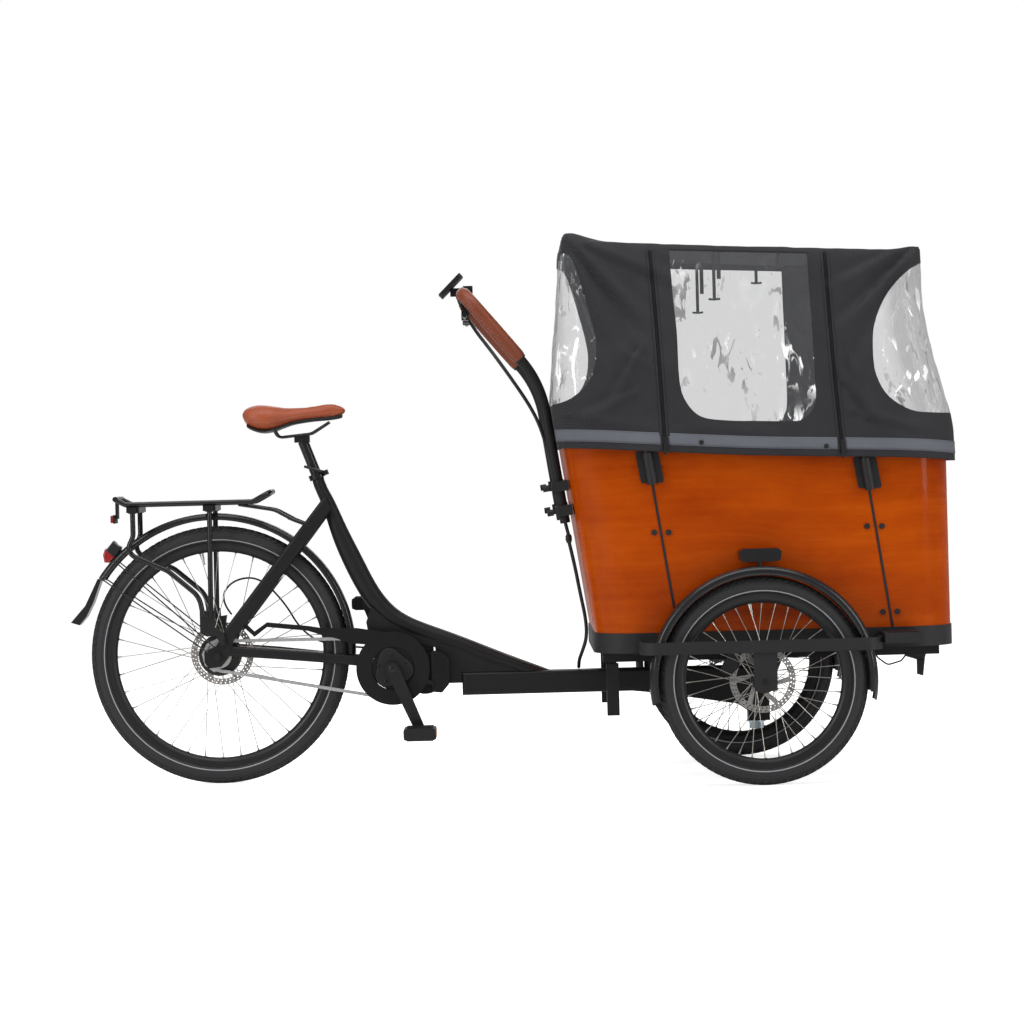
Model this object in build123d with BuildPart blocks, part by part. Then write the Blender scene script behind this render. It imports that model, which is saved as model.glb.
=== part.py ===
"""Front-loading cargo bicycle: two steered wheels under a plywood box, rider behind."""
import os
from math import cos, pi, radians, sin, tan

from build123d import *

os.makedirs("parts", exist_ok=True)

# ---------------------------------------------------------------- driving dimensions, mm
# +X is forward, +Y the rider's left, +Z up; Z = 0 is the ground, Y = 0 the middle plane.
# Stations along the bicycle are counted forward from the rear axle and shifted by ahead().
rear_axle_x = -730.09
wheelbase = 1342.5
half_track = 375.6
rear_radius = 326.5  # 47-559 tyre
front_radius = 252.4  # 50-406 tyre
tyre_width = 48.0
rim_depth = 24.0
rear_bead = 285.0
front_bead = 212.0
spoke_count = 36
rear_rotor_y = 49.0
axle_radius = 6.0

steer_x = 1354.0
kingpin_radius = 15.0
main_tube_top = 266.0
main_tube_bottom = 209.0
main_tube_width = 58.0
main_tube_start = 611.0

crank_x = 438.0
crank_z = 284.0
crank_length = 171.6
crank_slope = radians(23.0)  # right crank ahead of straight down
chain_pitch = 12.7
chainring_teeth = 38
sprocket_teeth = 18
chain_y = -46.0
chain_width = 7.0
chain_height = 8.0

seat_slope = radians(20.5)
seatpost_radius = 13.6

box_bottom = 371.0
box_rear = 943.0
box_front = 1818.0
box_half_width = 320.0
box_lean = tan(radians(8.5))
box_flare = 20.0 / 450.0
box_wall = 12.0
box_corner = 100.0
tray_bottom = 322.0
seam_lean = radians(8.6)
rear_seam_x = 1133.0
rear_seam_z = 439.0
front_seam_x = 1664.0
front_seam_z = 370.0
seam_width = 6.0

leg_radius = 12.5
leg_y = 235.0
leg_x = 867.0
leg_z = 712.0
bar_top_x = 641.0
bar_top_z = 1209.0
bar_half_width = 270.0
grip_radius = 18.0
bar_corner = 50.0

canopy_wall = 3.0
pole_radius = 8.0
pole_y = 352.0
rear_socket_x = 1083.0
rear_socket_z = 765.0
front_socket_x = 1609.0
front_socket_z = 739.0
hoop_half_width = 290.0
pole_bend_y = 325.0


def ahead(x):
    return rear_axle_x + x


def spot(x, y, z):
    return (ahead(x), y, z)


# a round tube along straight runs joined by tangent arcs
def tube(points, bends, radius, bore=0.0):
    with BuildLine() as route:
        if len(points) > 2:
            FilletPolyline(*points, radius=bends)
        else:
            Line(*points)
    line = route.line
    with BuildSketch(Plane(origin=line @ 0, z_dir=line % 0)) as section:
        Circle(radius)
        if bore:
            Circle(bore, mode=Mode.SUBTRACT)
    sweep(section.sketch, path=line)


# a straight round bar between two points
def rod(start, end, radius, mode=Mode.ADD):
    run = Vector(*end) - Vector(*start)
    with Locations(Plane(origin=start, z_dir=run).location):
        Cylinder(radius, run.length, align=(Align.CENTER, Align.CENTER, Align.MIN), mode=mode)


# a round bar across the bicycle
def cross_bar(x, z, y_low, y_high, radius, mode=Mode.ADD):
    with Locations((ahead(x), (y_low + y_high) / 2, z)):
        Cylinder(radius, y_high - y_low, rotation=(90, 0, 0), mode=mode)


# a flat plate with a side outline, from y_low to y_high
def side_plate(outline, y_low, y_high, rounding=0.0, mode=Mode.ADD):
    with BuildSketch(Plane.XZ.offset(-y_high)) as face:
        Polygon(*[(ahead(x), z) for x, z in outline], align=None)
        if rounding:
            fillet(face.vertices(), rounding)
    extrude(face.sketch, amount=y_high - y_low, mode=mode)


# a box given by its low and high corners
def block(low, high, mode=Mode.ADD):
    size = [b - a for a, b in zip(low, high)]
    with Locations(tuple((a + b) / 2 for a, b in zip(low, high))):
        Box(*size, mode=mode)


def wheel_plane(x, y, z):
    return Plane(origin=spot(x, y, z), x_dir=(0, 1, 0), z_dir=(1, 0, 0))


def wheel_axis(x, y, z):
    return Axis(spot(x, y, z), (0, 1, 0))


def add_tyre(x, y, z, outer, bead):
    with BuildSketch(wheel_plane(x, y, z)) as section:
        with Locations((0, outer - tyre_width / 2)):
            Circle(tyre_width / 2)
        with Locations((0, bead - tyre_width / 2)):
            Rectangle(tyre_width, tyre_width, mode=Mode.SUBTRACT)
    revolve(section.sketch, axis=wheel_axis(x, y, z))


def add_rim(x, y, z, bead):
    flange = 14.5
    waist = 8.0
    outer = bead - 0.3
    inner = bead - rim_depth
    with BuildSketch(wheel_plane(x, y, z)) as section:
        Polygon(
            (-waist, inner),
            (waist, inner),
            (flange, inner + 8),
            (flange, outer),
            (-flange, outer),
            (-flange, inner + 8),
            align=None,
        )
    revolve(section.sketch, axis=wheel_axis(x, y, z))


# spokes cross from the hub flanges to the middle of the rim
def add_spokes(x, y, z, flange_radius, flange_offset, rim_radius, lead):
    places = []
    for number in range(spoke_count):
        side = 1 if number % 2 else -1
        turn = 2 * pi * number / spoke_count
        hub_turn = turn + (lead if number % 4 < 2 else -lead)
        start = Vector(
            ahead(x) + flange_radius * cos(hub_turn),
            y + side * flange_offset,
            z + flange_radius * sin(hub_turn),
        )
        end = Vector(ahead(x) + rim_radius * cos(turn), y + side * 2.0, z + rim_radius * sin(turn))
        places.append(Plane(origin=start, z_dir=end - start).location)
    with Locations(*places):
        Cylinder(1.0, (end - start).length, align=(Align.CENTER, Align.CENTER, Align.MIN))


def add_rotor(x, y, z, bore):
    rotor_radius = 80.0
    ring_width = 15.0
    thickness = 1.8
    with BuildSketch(Plane.XZ.offset(-y - thickness / 2)) as disc:
        with Locations((ahead(x), z)):
            Circle(rotor_radius)
            Circle(rotor_radius - ring_width, mode=Mode.SUBTRACT)
            Circle(26.0)
            with PolarLocations(0, 6):
                with Locations((46, 0)):
                    Rectangle(44, 7, rotation=12)
            Circle(bore, mode=Mode.SUBTRACT)
    extrude(disc.sketch, amount=thickness)


def lean_shift(z, z0):
    return -(z - z0) * tan(seam_lean)


# ---------------------------------------------------------------- rear frame
# centre line of the curved tube from the seat clamp to the main tube, with its depth
spine_points = [
    (259, 766), (279, 713), (300, 657), (322, 600), (343, 553), (366, 505), (394, 458),
    (424, 423), (462, 395), (508, 374), (560, 356), (625, 331), (700, 300), (780, 268), (840, 244),
]
spine_depths = [31, 33, 40, 47, 50, 50, 49, 48, 47, 45, 41, 39, 38, 38, 38]
spine_widths = [34, 36, 38, 42, 44, 46, 46, 46, 46, 46, 48, 50, 52, 54, 54]

# the curved tube as one smooth solid, made smaller all round by inset
def spine_solid(inset, mode=Mode.ADD):
    last_step = len(spine_points) - 1
    sections = []
    for step, (station, height) in enumerate(spine_points):
        behind = spine_points[max(step - 1, 0)]
        beyond = spine_points[min(step + 1, last_step)]
        heading = Vector(beyond[0] - behind[0], 0, beyond[1] - behind[1])
        with BuildSketch(Plane(origin=spot(station, 0, height), x_dir=(0, 1, 0), z_dir=heading)) as section:
            Ellipse(spine_widths[step] / 2 - inset, spine_depths[step] / 2 - inset)
        sections.append(section.sketch)
    loft(sections, mode=mode)


with BuildPart() as frame_spine:
    spine_solid(0)
    spine_solid(3, mode=Mode.SUBTRACT)
    # the tail of the tube lies on top of the main tube
    split(bisect_by=Plane.XY.offset(main_tube_top), keep=Keep.TOP)
    # the seatpost slides in the upper end
    rod(spot(259 + 250 * sin(seat_slope), 0, 766 - 250 * cos(seat_slope)),
        spot(259 - 40 * sin(seat_slope), 0, 766 + 40 * cos(seat_slope)),
        seatpost_radius + 0.05, mode=Mode.SUBTRACT)
frame_spine.part.label = "frame_spine"
export_step(frame_spine.part, "parts/frame_spine.step")

with BuildPart() as main_tube:
    # the tube runs forward under the box and deepens towards the kingpin
    side_plate(
        [
            (main_tube_start, main_tube_bottom), (main_tube_start, main_tube_top),
            (1387, main_tube_top), (1387, 150), (1333, 150), (1306, 169), (1120, 200), (1040, main_tube_bottom),
        ],
        -main_tube_width / 2, main_tube_width / 2,
    )
    fillet(main_tube.edges().filter_by(Plane.XZ), 8)
    side_plate(
        [
            (main_tube_start + 3, main_tube_bottom + 3), (main_tube_start + 3, main_tube_top - 3),
            (1318, main_tube_top - 3), (1318, 173), (1120, 204), (1040, main_tube_bottom + 3),
        ],
        3 - main_tube_width / 2, main_tube_width / 2 - 3, mode=Mode.SUBTRACT,
    )
    block(spot(1333, -26, 126), spot(1387, 26, 150))
    rod(spot(steer_x, 0, 100), spot(steer_x, 0, 300), kingpin_radius + 0.02, mode=Mode.SUBTRACT)
main_tube.part.label = "main_tube"
export_step(main_tube.part, "parts/main_tube.step")

with BuildPart() as kingpin:
    rod(spot(steer_x, 0, 112), spot(steer_x, 0, 318), kingpin_radius)
    # washer and nut below the block
    rod(spot(steer_x, 0, 122), spot(steer_x, 0, 126), 24)
    with BuildSketch(Plane.XY.offset(105)) as nut_outline:
        with Locations((ahead(steer_x), 0)):
            RegularPolygon(18, 6)
    extrude(nut_outline.sketch, amount=17)
kingpin.part.label = "kingpin"
export_step(kingpin.part, "parts/kingpin.step")

with BuildPart() as motor_bracket:
    side_plate(
        [
            (386, 440), (372, 400), (380, 352), (470, 350), (540, 334), (590, 305), (611, 288),
            (611, 267), (760, 267), (690, 300), (560, 345), (480, 372), (430, 400),
        ],
        -22, 22,
    )
    # yoke behind the cranks, which the chain stays are welded to
    block(spot(372, -41, 268), spot(386, 41, 352))
    add(frame_spine.part, mode=Mode.SUBTRACT)
    # the seatpost bore runs through, so only the outer web stays
    block(spot(300, -40, 440), spot(460, 40, 520), mode=Mode.SUBTRACT)
motor_bracket.part.label = "motor_bracket"
export_step(motor_bracket.part, "parts/motor_bracket.step")

with BuildPart() as seat_stays:
    for side in (-1, 1):
        with BuildLine() as stay_line:
            FilletPolyline(
                spot(30, side * 63, 380), spot(214, side * 43, 615), spot(290, side * 22, 712), radius=120
            )
        stay_path = stay_line.line
        with BuildSketch(Plane(origin=stay_path @ 0, x_dir=(0, 1, 0), z_dir=stay_path % 0)) as stay_end:
            SlotOverall(36, 16, rotation=90)
        sweep(stay_end.sketch, path=stay_path)
    add(frame_spine.part, mode=Mode.SUBTRACT)
    # nothing is left inside or ahead of the seat tube
    rod(spot(259 + 140 * sin(seat_slope), 0, 766 - 140 * cos(seat_slope)),
        spot(259 - 20 * sin(seat_slope), 0, 766 + 20 * cos(seat_slope)),
        16.8, mode=Mode.SUBTRACT)
    split(bisect_by=Plane(origin=spot(281, 0, 712), z_dir=(cos(seat_slope), 0, sin(seat_slope))),
          keep=Keep.BOTTOM)
seat_stays.part.label = "seat_stays"
export_step(seat_stays.part, "parts/seat_stays.step")

with BuildPart() as chain_stays:
    for side in (-1, 1):
        with BuildLine() as stay_line:
            FilletPolyline(
                spot(18, side * 64, 339), spot(140, side * 60, 328), spot(262, side * 34.5, 314),
                spot(371.8, side * 34.5, 301), radius=150,
            )
        stay_path = stay_line.line
        with BuildSketch(Plane(origin=stay_path @ 0, x_dir=(0, 1, 0), z_dir=stay_path % 0)) as stay_end:
            SlotOverall(25, 13, rotation=90)
        sweep(stay_end.sketch, path=stay_path)
        # dropout plate
        side_plate(
            [(-34, 312), (-24, 296), (8, 300), (26, 322), (34, 344), (46, 384), (22, 392), (-4, 352), (-34, 338)],
            side * 69 - 3, side * 69 + 3,
        )
    cross_bar(0, rear_radius, -80, 80, axle_radius + 0.02, mode=Mode.SUBTRACT)
    add(seat_stays.part, mode=Mode.SUBTRACT)
    add(motor_bracket.part, mode=Mode.SUBTRACT)
chain_stays.part.label = "chain_stays"
export_step(chain_stays.part, "parts/chain_stays.step")

with BuildPart() as rear_axle:
    cross_bar(0, rear_radius, -86, 86, axle_radius)
    for side in (-1, 1):
        cross_bar(0, rear_radius, *sorted((side * 72.2, side * 80)), 10)
rear_axle.part.label = "rear_axle"
export_step(rear_axle.part, "parts/rear_axle.step")

with BuildPart() as seat_clamp:
    clamp_low = Vector(*spot(259, 0, 766))
    up_post = Vector(-sin(seat_slope), 0, cos(seat_slope))
    rod((clamp_low + up_post * 0.5), (clamp_low + up_post * 14), 21)
    with Locations(Plane(origin=clamp_low + up_post * 7.25 + Vector(22, 0, 8), z_dir=up_post).location):
        Box(14, 16, 12)
    rod((clamp_low - up_post * 5), (clamp_low + up_post * 20),
        seatpost_radius + 0.05, mode=Mode.SUBTRACT)
seat_clamp.part.label = "seat_clamp"
export_step(seat_clamp.part, "parts/seat_clamp.step")

with BuildPart() as seat_clamp_lever:
    # cam boss beside the clamp ear; the lever lies back along the seat tube
    pivot = clamp_low + up_post * 7.25 + Vector(24, -17, 9)
    rod(pivot - up_post * 6, pivot + up_post * 6, 5.5)
    tube([pivot, pivot + Vector(-12, -11, 3), pivot + Vector(-54, -12, 16)], 10, 3.5)
seat_clamp_lever.part.label = "seat_clamp_lever"
export_step(seat_clamp_lever.part, "parts/seat_clamp_lever.step")

# ---------------------------------------------------------------- motor and drive
with BuildPart() as motor_housing:
    cross_bar(crank_x + 12, crank_z, -41, 44, 46)
    cross_bar(518, 268, -41, 56, 52)
    side_plate([(430, 236), (520, 216), (570, 240), (574, 296), (520, 320), (440, 330)], -41, 44, 12)
    # outer end of the motor, ahead of the chain guard
    side_plate([(535, 222), (560, 219), (578, 240), (580, 306), (560, 322), (535, 326)], -54, -40, 5)
    # rear lug under the bracket
    block(spot(480, -20, 312), spot(540, 20, 352))
    cross_bar(crank_x, crank_z, -60, 60, 9.3, mode=Mode.SUBTRACT)
    add(motor_bracket.part, mode=Mode.SUBTRACT)
    add(frame_spine.part, mode=Mode.SUBTRACT)
motor_housing.part.label = "motor_housing"
export_step(motor_housing.part, "parts/motor_housing.step")

with BuildPart() as chain_guard:
    guard_low = -57.0
    guard_high = -54.0
    with BuildSketch(Plane.XZ.offset(-guard_high)) as disc:
        with Locations((ahead(crank_x), crank_z)):
            Circle(92.5)
    extrude(disc.sketch, amount=guard_high - guard_low)
    side_plate(
        [
            (64, 398), (92, 372), (124, 396), (226, 384), (262, 372), (300, 362), (330, 350), (380, 345),
            (420, 376), (349, 388), (262, 390), (230, 396), (124, 408), (92, 386), (74, 404),
        ],
        guard_low, guard_high,
    )
    cross_bar(crank_x, crank_z, -60, -50, 54, mode=Mode.SUBTRACT)
    # spacers to the motor bracket and the motor clear the chain
    cross_bar(404, 374, guard_high - 1, -22.2, 3)
    side_plate([(520, 244), (541, 236), (541, 248), (524, 254)], guard_low, guard_high)
    add(seat_stays.part, mode=Mode.SUBTRACT)
chain_guard.part.label = "chain_guard"
export_step(chain_guard.part, "parts/chain_guard.step")

chainring_radius = chain_pitch / (2 * sin(pi / chainring_teeth))
sprocket_radius = chain_pitch / (2 * sin(pi / sprocket_teeth))

# two wheels of the given radii and the straight runs round them
def belt_outline(extra, mode=Mode.ADD):
    with BuildSketch(Plane.XZ.offset(-chain_y - chain_width / 2), mode=Mode.PRIVATE) as rounds:
        with Locations((ahead(crank_x), crank_z)):
            Circle(chainring_radius + extra)
        with Locations((ahead(0), rear_radius)):
            Circle(sprocket_radius + extra)
        make_hull()
    extrude(rounds.sketch, amount=chain_width, mode=mode)


with BuildPart() as chain:
    belt_outline(chain_height / 2)
    belt_outline(-chain_height / 2, mode=Mode.SUBTRACT)
chain.part.label = "chain"
export_step(chain.part, "parts/chain.step")

with BuildPart() as chainring:
    cross_bar(crank_x, crank_z, chain_y - 2, chain_y + 2, chainring_radius - chain_height / 2 - 0.4)
    for turn in range(5):
        hole_turn = radians(72 * turn + 20)
        cross_bar(crank_x + 48 * cos(hole_turn), crank_z + 48 * sin(hole_turn), -60, -40, 13, mode=Mode.SUBTRACT)
    cross_bar(crank_x, crank_z, -60, -40, 9.3, mode=Mode.SUBTRACT)
chainring.part.label = "chainring"
export_step(chainring.part, "parts/chainring.step")

crank_run = (crank_length * sin(crank_slope), -crank_length * cos(crank_slope))

with BuildPart() as crank_arms:
    cross_bar(crank_x, crank_z, -84, 84, 9)
    for side in (-1, 1):
        reach_x = -side * crank_run[0]
        reach_z = -side * crank_run[1]
        arm_low, arm_high = sorted((side * 74, side * 88))
        with BuildSketch(Plane.XZ.offset(-arm_high)) as arm_outline:
            with Locations((ahead(crank_x), crank_z)):
                Circle(17)
            with Locations((ahead(crank_x) + reach_x, crank_z + reach_z)):
                Circle(13)
            make_hull()
        extrude(arm_outline.sketch, amount=arm_high - arm_low)
        # pedal pin
        cross_bar(crank_x + reach_x, crank_z + reach_z, *sorted((side * 88, side * 180)), 5)
crank_arms.part.label = "crank_arms"
export_step(crank_arms.part, "parts/crank_arms.step")

for side, side_name in ((-1, "right"), (1, "left")):
    pedal_x = crank_x - side * crank_run[0]
    pedal_z = crank_z - side * crank_run[1]
    with BuildPart() as pedal:
        low, high = sorted((side * 92, side * 184))
        side_plate(
            [(pedal_x - 40, pedal_z - 12), (pedal_x - 32, pedal_z - 15), (pedal_x + 32, pedal_z - 15),
             (pedal_x + 40, pedal_z - 12), (pedal_x + 40, pedal_z + 12), (pedal_x + 32, pedal_z + 15),
             (pedal_x - 32, pedal_z + 15), (pedal_x - 40, pedal_z + 12)],
            low, high,
        )
        for step in (-1, 1):
            block(spot(pedal_x + step * 22 - 11, min(side * 102, side * 174), pedal_z - 20),
                  spot(pedal_x + step * 22 + 11, max(side * 102, side * 174), pedal_z + 20),
                  mode=Mode.SUBTRACT)
        cross_bar(pedal_x, pedal_z, *sorted((side * 80, side * 180.5)), 5.05, mode=Mode.SUBTRACT)
    pedal.part.label = f"pedal_{side_name}"
    export_step(pedal.part, f"parts/pedal_{side_name}.step")

with BuildPart() as rear_sprocket:
    cross_bar(0, rear_radius, chain_y - 1.5, chain_y + 1.5, sprocket_radius - chain_height / 2 - 0.4)
    cross_bar(0, rear_radius, chain_y - 8, chain_y + 8, 18)
    cross_bar(0, rear_radius, -70, -20, axle_radius + 0.05, mode=Mode.SUBTRACT)
rear_sprocket.part.label = "rear_sprocket"
export_step(rear_sprocket.part, "parts/rear_sprocket.step")

# ---------------------------------------------------------------- rear wheel
with BuildPart() as rear_tyre:
    add_tyre(0, 0, rear_radius, rear_radius, rear_bead)
rear_tyre.part.label = "rear_tyre"
export_step(rear_tyre.part, "parts/rear_tyre.step")

with BuildPart() as rear_rim:
    add_rim(0, 0, rear_radius, rear_bead)
rear_rim.part.label = "rear_rim"
export_step(rear_rim.part, "parts/rear_rim.step")

with BuildPart() as rear_hub:
    cross_bar(0, rear_radius, -28, 34, 44)
    cross_bar(0, rear_radius, -36, 53, 24)
    for flange_y in (-26, 26):
        cross_bar(0, rear_radius, flange_y - 2, flange_y + 2, 50)
    add_spokes(0, 0, rear_radius, 49.5, 26, rear_bead - rim_depth - 0.2, radians(28))
    add_rotor(0, rear_rotor_y, rear_radius, 20)
    cross_bar(0, rear_radius, -40, 62, axle_radius + 0.05, mode=Mode.SUBTRACT)
rear_hub.part.label = "rear_hub"
export_step(rear_hub.part, "parts/rear_hub.step")

with BuildPart() as rear_caliper:
    side_plate([(-30, 376), (8, 390), (14, 424), (-14, 420), (-40, 396)], rear_rotor_y - 11, 66)
    block(spot(-60, rear_rotor_y - 2, 330), spot(80, rear_rotor_y + 2, 412), mode=Mode.SUBTRACT)
    add(chain_stays.part, mode=Mode.SUBTRACT)
    add(seat_stays.part, mode=Mode.SUBTRACT)
rear_caliper.part.label = "rear_caliper"
export_step(rear_caliper.part, "parts/rear_caliper.step")

with BuildPart() as rear_brake_hose:
    tube(
        [spot(24, 74, 424), spot(-6, 76, 462), spot(26, 78, 512), spot(96, 77, 520), spot(160, 74, 452),
         spot(200, 68, 380), spot(262, 62, 339), spot(370, 58.5, 331)],
        [24, 28, 30, 42, 40, 44], 2.5,
    )
    add(seat_stays.part, mode=Mode.SUBTRACT)
rear_brake_hose.part.label = "rear_brake_hose"
export_step(rear_brake_hose.part, "parts/rear_brake_hose.step")

# ---------------------------------------------------------------- rack, rear mudguard and lights
rail_radius = 6.5
rack_half = 62.0

with BuildPart() as rack:
    # one tube makes both rails and the raised front loop
    tube(
        [spot(-248, -rack_half, 726), spot(-222, -rack_half, 712), spot(96, -rack_half, 712),
         spot(140, -rack_half, 736), spot(140, rack_half, 736), spot(96, rack_half, 712),
         spot(-222, rack_half, 712), spot(-248, rack_half, 726)],
        [20, 24, 22, 22, 24, 20], rail_radius,
    )
    rod(spot(-248, -rack_half - 6, 727), spot(-248, rack_half + 6, 727), rail_radius)
    for station in (-204, -12):
        block(spot(station - 16, -rack_half - 10, 692), spot(station + 16, rack_half + 10, 706.5))
    for side in (-1, 1):
        leg_side = side * 75
        tube([spot(-11, leg_side, 700), spot(-14, side * 79, 428)], [], rail_radius)
        tube(
            [spot(-204, leg_side, 700), spot(-204, leg_side, 632), spot(-224, side * 76, 592),
             spot(-120, side * 77, 545), spot(-42, side * 79, 478), spot(-33, side * 79, 428)],
            [40, 26, 60, 60], rail_radius,
        )
        block(spot(-204 - 10, min(side * 66, side * 82), 690), spot(-204 + 10, max(side * 66, side * 82), 704))
        block(spot(-11 - 10, min(side * 66, side * 82), 690), spot(-11 + 10, max(side * 66, side * 82), 704))
        # lower bracket plate, bolted to the dropout
        side_plate(
            [(-42, 442), (-42, 388), (-28, 378), (-2, 378), (10, 352), (22, 356), (18, 386), (-4, 400), (-4, 442)],
            min(side * 76.5, side * 81), max(side * 76.5, side * 81),
        )
        cross_bar(16, 362, *sorted((side * 72.4, side * 86)), 5)
        # front strut down to the seat stay
        tube([spot(60, side * 56, 706), spot(150, side * 50, 690), spot(196, side * 52, 664)], 60, 4)
rack.part.label = "rack"
export_step(rack.part, "parts/rack.step")

mudguard_x = -9.0
mudguard_z = 333.0
mudguard_radius = 352.0
mudguard_half = 27.0


# a curved strip with rolled-down edges, following a wheel from one angle to another
def curved_strip(x, y, z, radius, half, wall, lip, start, sweep_turn, mode=Mode.ADD):
    begin = Plane(
        origin=spot(x, y, z), x_dir=(0, 1, 0),
        z_dir=(-sin(radians(start)), 0, cos(radians(start))),
    )
    # on this plane +Y of the bicycle is local x and the radius runs along minus local y
    with BuildSketch(begin) as section:
        Polygon(
            (-half, -(radius - lip)), (-half + 8, -radius), (half - 8, -radius), (half, -(radius - lip)),
            (half - wall, -(radius - lip)), (half - 8 - wall / 2, -(radius - wall)),
            (-half + 8 + wall / 2, -(radius - wall)), (-half + wall, -(radius - lip)), align=None,
        )
    revolve(section.sketch, axis=Axis(spot(x, y, z), (0, -1, 0)), revolution_arc=sweep_turn, mode=mode)


with BuildPart() as rear_fender:
    curved_strip(mudguard_x, 0, mudguard_z, mudguard_radius, mudguard_half, 2.5, 8, -2, 148)
    # flap below the tail end
    flap_root = radians(146)
    root_x = mudguard_x + (mudguard_radius - 3) * cos(flap_root)
    root_z = mudguard_z + (mudguard_radius - 3) * sin(flap_root)
    side_plate(
        [(root_x - 5, root_z - 1), (root_x - 38, root_z - 68), (-374, 418), (-352, 411), (-334, 432),
         (root_x - 18, root_z - 62), (root_x + 3, root_z - 6)],
        -24, 24,
    )
    add(frame_spine.part, mode=Mode.SUBTRACT)
    # wire stays, two each side
    for side in (-1, 1):
        rod(spot(-298, side * 28, 531), spot(-24, side * 86, 338), 1.8)
        rod(spot(-262, side * 28, 574), spot(-6, side * 86, 350), 1.8)
rear_fender.part.label = "rear_fender"
export_step(rear_fender.part, "parts/rear_fender.step")

with BuildPart() as rear_lights:
    # tail light standing on the mudguard, and the reflector under the rack
    side_plate(
        [(-286, 567), (-272, 566), (-246, 596), (-243, 606), (-262, 622), (-274, 614), (-292, 582)], -22, 22,
    )
    block(spot(-264, -30, 666), spot(-254, 30, 686))
    block(spot(-254, -20, 676), spot(-248, 20, 719))
    add(rack.part, mode=Mode.SUBTRACT)
    add(rear_fender.part, mode=Mode.SUBTRACT)
rear_lights.part.label = "rear_lights"
export_step(rear_lights.part, "parts/rear_lights.step")

# ---------------------------------------------------------------- saddle and post
post_top = Vector(*spot(259, 0, 766)) + up_post * 102

with BuildPart() as seatpost:
    post_foot = Vector(*spot(259, 0, 766)) - up_post * 190
    rod(post_foot, post_top, seatpost_radius)
    # clamp head and the two rails
    head = post_top + Vector(-2, 0, 6)
    with Locations(tuple(head)):
        Box(38, 34, 18)
    with Locations(tuple(head + Vector(0, 0, -2))):
        Cylinder(5, 52, rotation=(90, 0, 0))
    for side in (-1, 1):
        tube(
            [spot(150, side * 30, 896), spot(162, side * 22, 872), spot(246, side * 22, 880),
             spot(292, side * 12, 908)],
            [16, 30], 3.5,
        )
seatpost.part.label = "seatpost"
export_step(seatpost.part, "parts/seatpost.step")

# the saddle is lofted from cross-sections: station, half width, underside, top
saddle_stations = [
    (73, 38, 922, 934), (92, 68, 903, 950), (122, 76, 896, 953), (160, 70, 902, 949),
    (205, 44, 910, 940), (250, 26, 916, 943), (295, 22, 919, 949), (320, 17, 924, 946), (331, 9, 928, 940),
]
with BuildPart() as saddle:
    for station, half, low, high in saddle_stations:
        with BuildSketch(Plane(origin=spot(station, 0, (low + high) / 2), x_dir=(0, 1, 0), z_dir=(1, 0, 0))):
            Ellipse(half, (high - low) / 2)
    loft()
    for side in (-1, 1):
        rod(spot(146, side * 30, 885), spot(150.5, side * 30, 897), 5, mode=Mode.SUBTRACT)
    add(seatpost.part, mode=Mode.SUBTRACT)
saddle.part.label = "saddle"
export_step(saddle.part, "parts/saddle.step")

# ---------------------------------------------------------------- carriage under the box
arm_y = 328.0
beam_low = 270.0

with BuildPart() as carriage_frame:
    # hub round the kingpin and the cross beam
    block(spot(1312, -326, beam_low + 4), spot(1376, 326, tray_bottom - 0.1))
    block(spot(1315, -323, beam_low + 7), spot(1373, 323, tray_bottom - 3), mode=Mode.SUBTRACT)
    rod(spot(steer_x, 0, main_tube_top + 0.5), spot(steer_x, 0, tray_bottom - 0.1), 34)
    for side in (-1, 1):
        block(spot(962, side * 205 - 18, 296), spot(1790, side * 205 + 18, tray_bottom - 0.1))
        block(spot(965, side * 205 - 15, 299), spot(1787, side * 205 + 15, tray_bottom - 3), mode=Mode.SUBTRACT)
        # post hanging at the rear corner, in a square sleeve, which ends the steering at the main tube
        block(spot(975, side * 205 - 10, 260), spot(995, side * 205 + 10, 297))
        block(spot(970, side * 205 - 15, 164), spot(1000, side * 205 + 15, 292))
        # axle plate inside the wheel
        low, high = sorted((side * 322.5, side * 331))
        side_plate([(1296, tray_bottom), (1296, 290), (1322, 232), (1363, 232), (1389, 290), (1389, tray_bottom)],
                   low, high)
        cross_bar(wheelbase, front_radius, *sorted((side * 326, side * 437)), axle_radius)
    rod(spot(steer_x, 0, 250), spot(steer_x, 0, 340), kingpin_radius + 0.05, mode=Mode.SUBTRACT)
carriage_frame.part.label = "carriage_frame"
export_step(carriage_frame.part, "parts/carriage_frame.step")


# plan section of the box at a height: rear end, front end and half width
def box_section(z):
    rise = z - box_bottom
    return box_rear - rise * box_lean, box_front - rise * 0.0067, box_half_width + rise * box_flare


# a rounded plan outline drawn at a height, grown outwards by extra
def plan_outline(z, rear, front, half, corner, extra=0.0):
    with BuildSketch(Plane.XY.offset(z)) as outline:
        with Locations((ahead((rear + front) / 2), 0)):
            RectangleRounded(front - rear + 2 * extra, 2 * (half + extra), corner + extra)
    return outline.sketch


box_edge_plane = Plane(origin=spot(963, 0, 846), z_dir=(38, 0, 725))
rear_seam_plane = Plane(origin=spot(rear_seam_x, 0, rear_seam_z), z_dir=(cos(seam_lean), 0, sin(seam_lean)))
front_seam_plane = Plane(origin=spot(front_seam_x, 0, front_seam_z), z_dir=(cos(seam_lean), 0, sin(seam_lean)))
box_top = 862.0


# four walls of the box before they are cut apart
def add_box_walls():
    for inset, mode in ((0, Mode.ADD), (-box_wall, Mode.SUBTRACT)):
        low = plan_outline(box_bottom, *box_section(box_bottom), box_corner, inset)
        high = plan_outline(box_top, *box_section(box_top), box_corner + 8, inset)
        loft([low, high], mode=mode)
    split(bisect_by=box_edge_plane, keep=Keep.BOTTOM)


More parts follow.
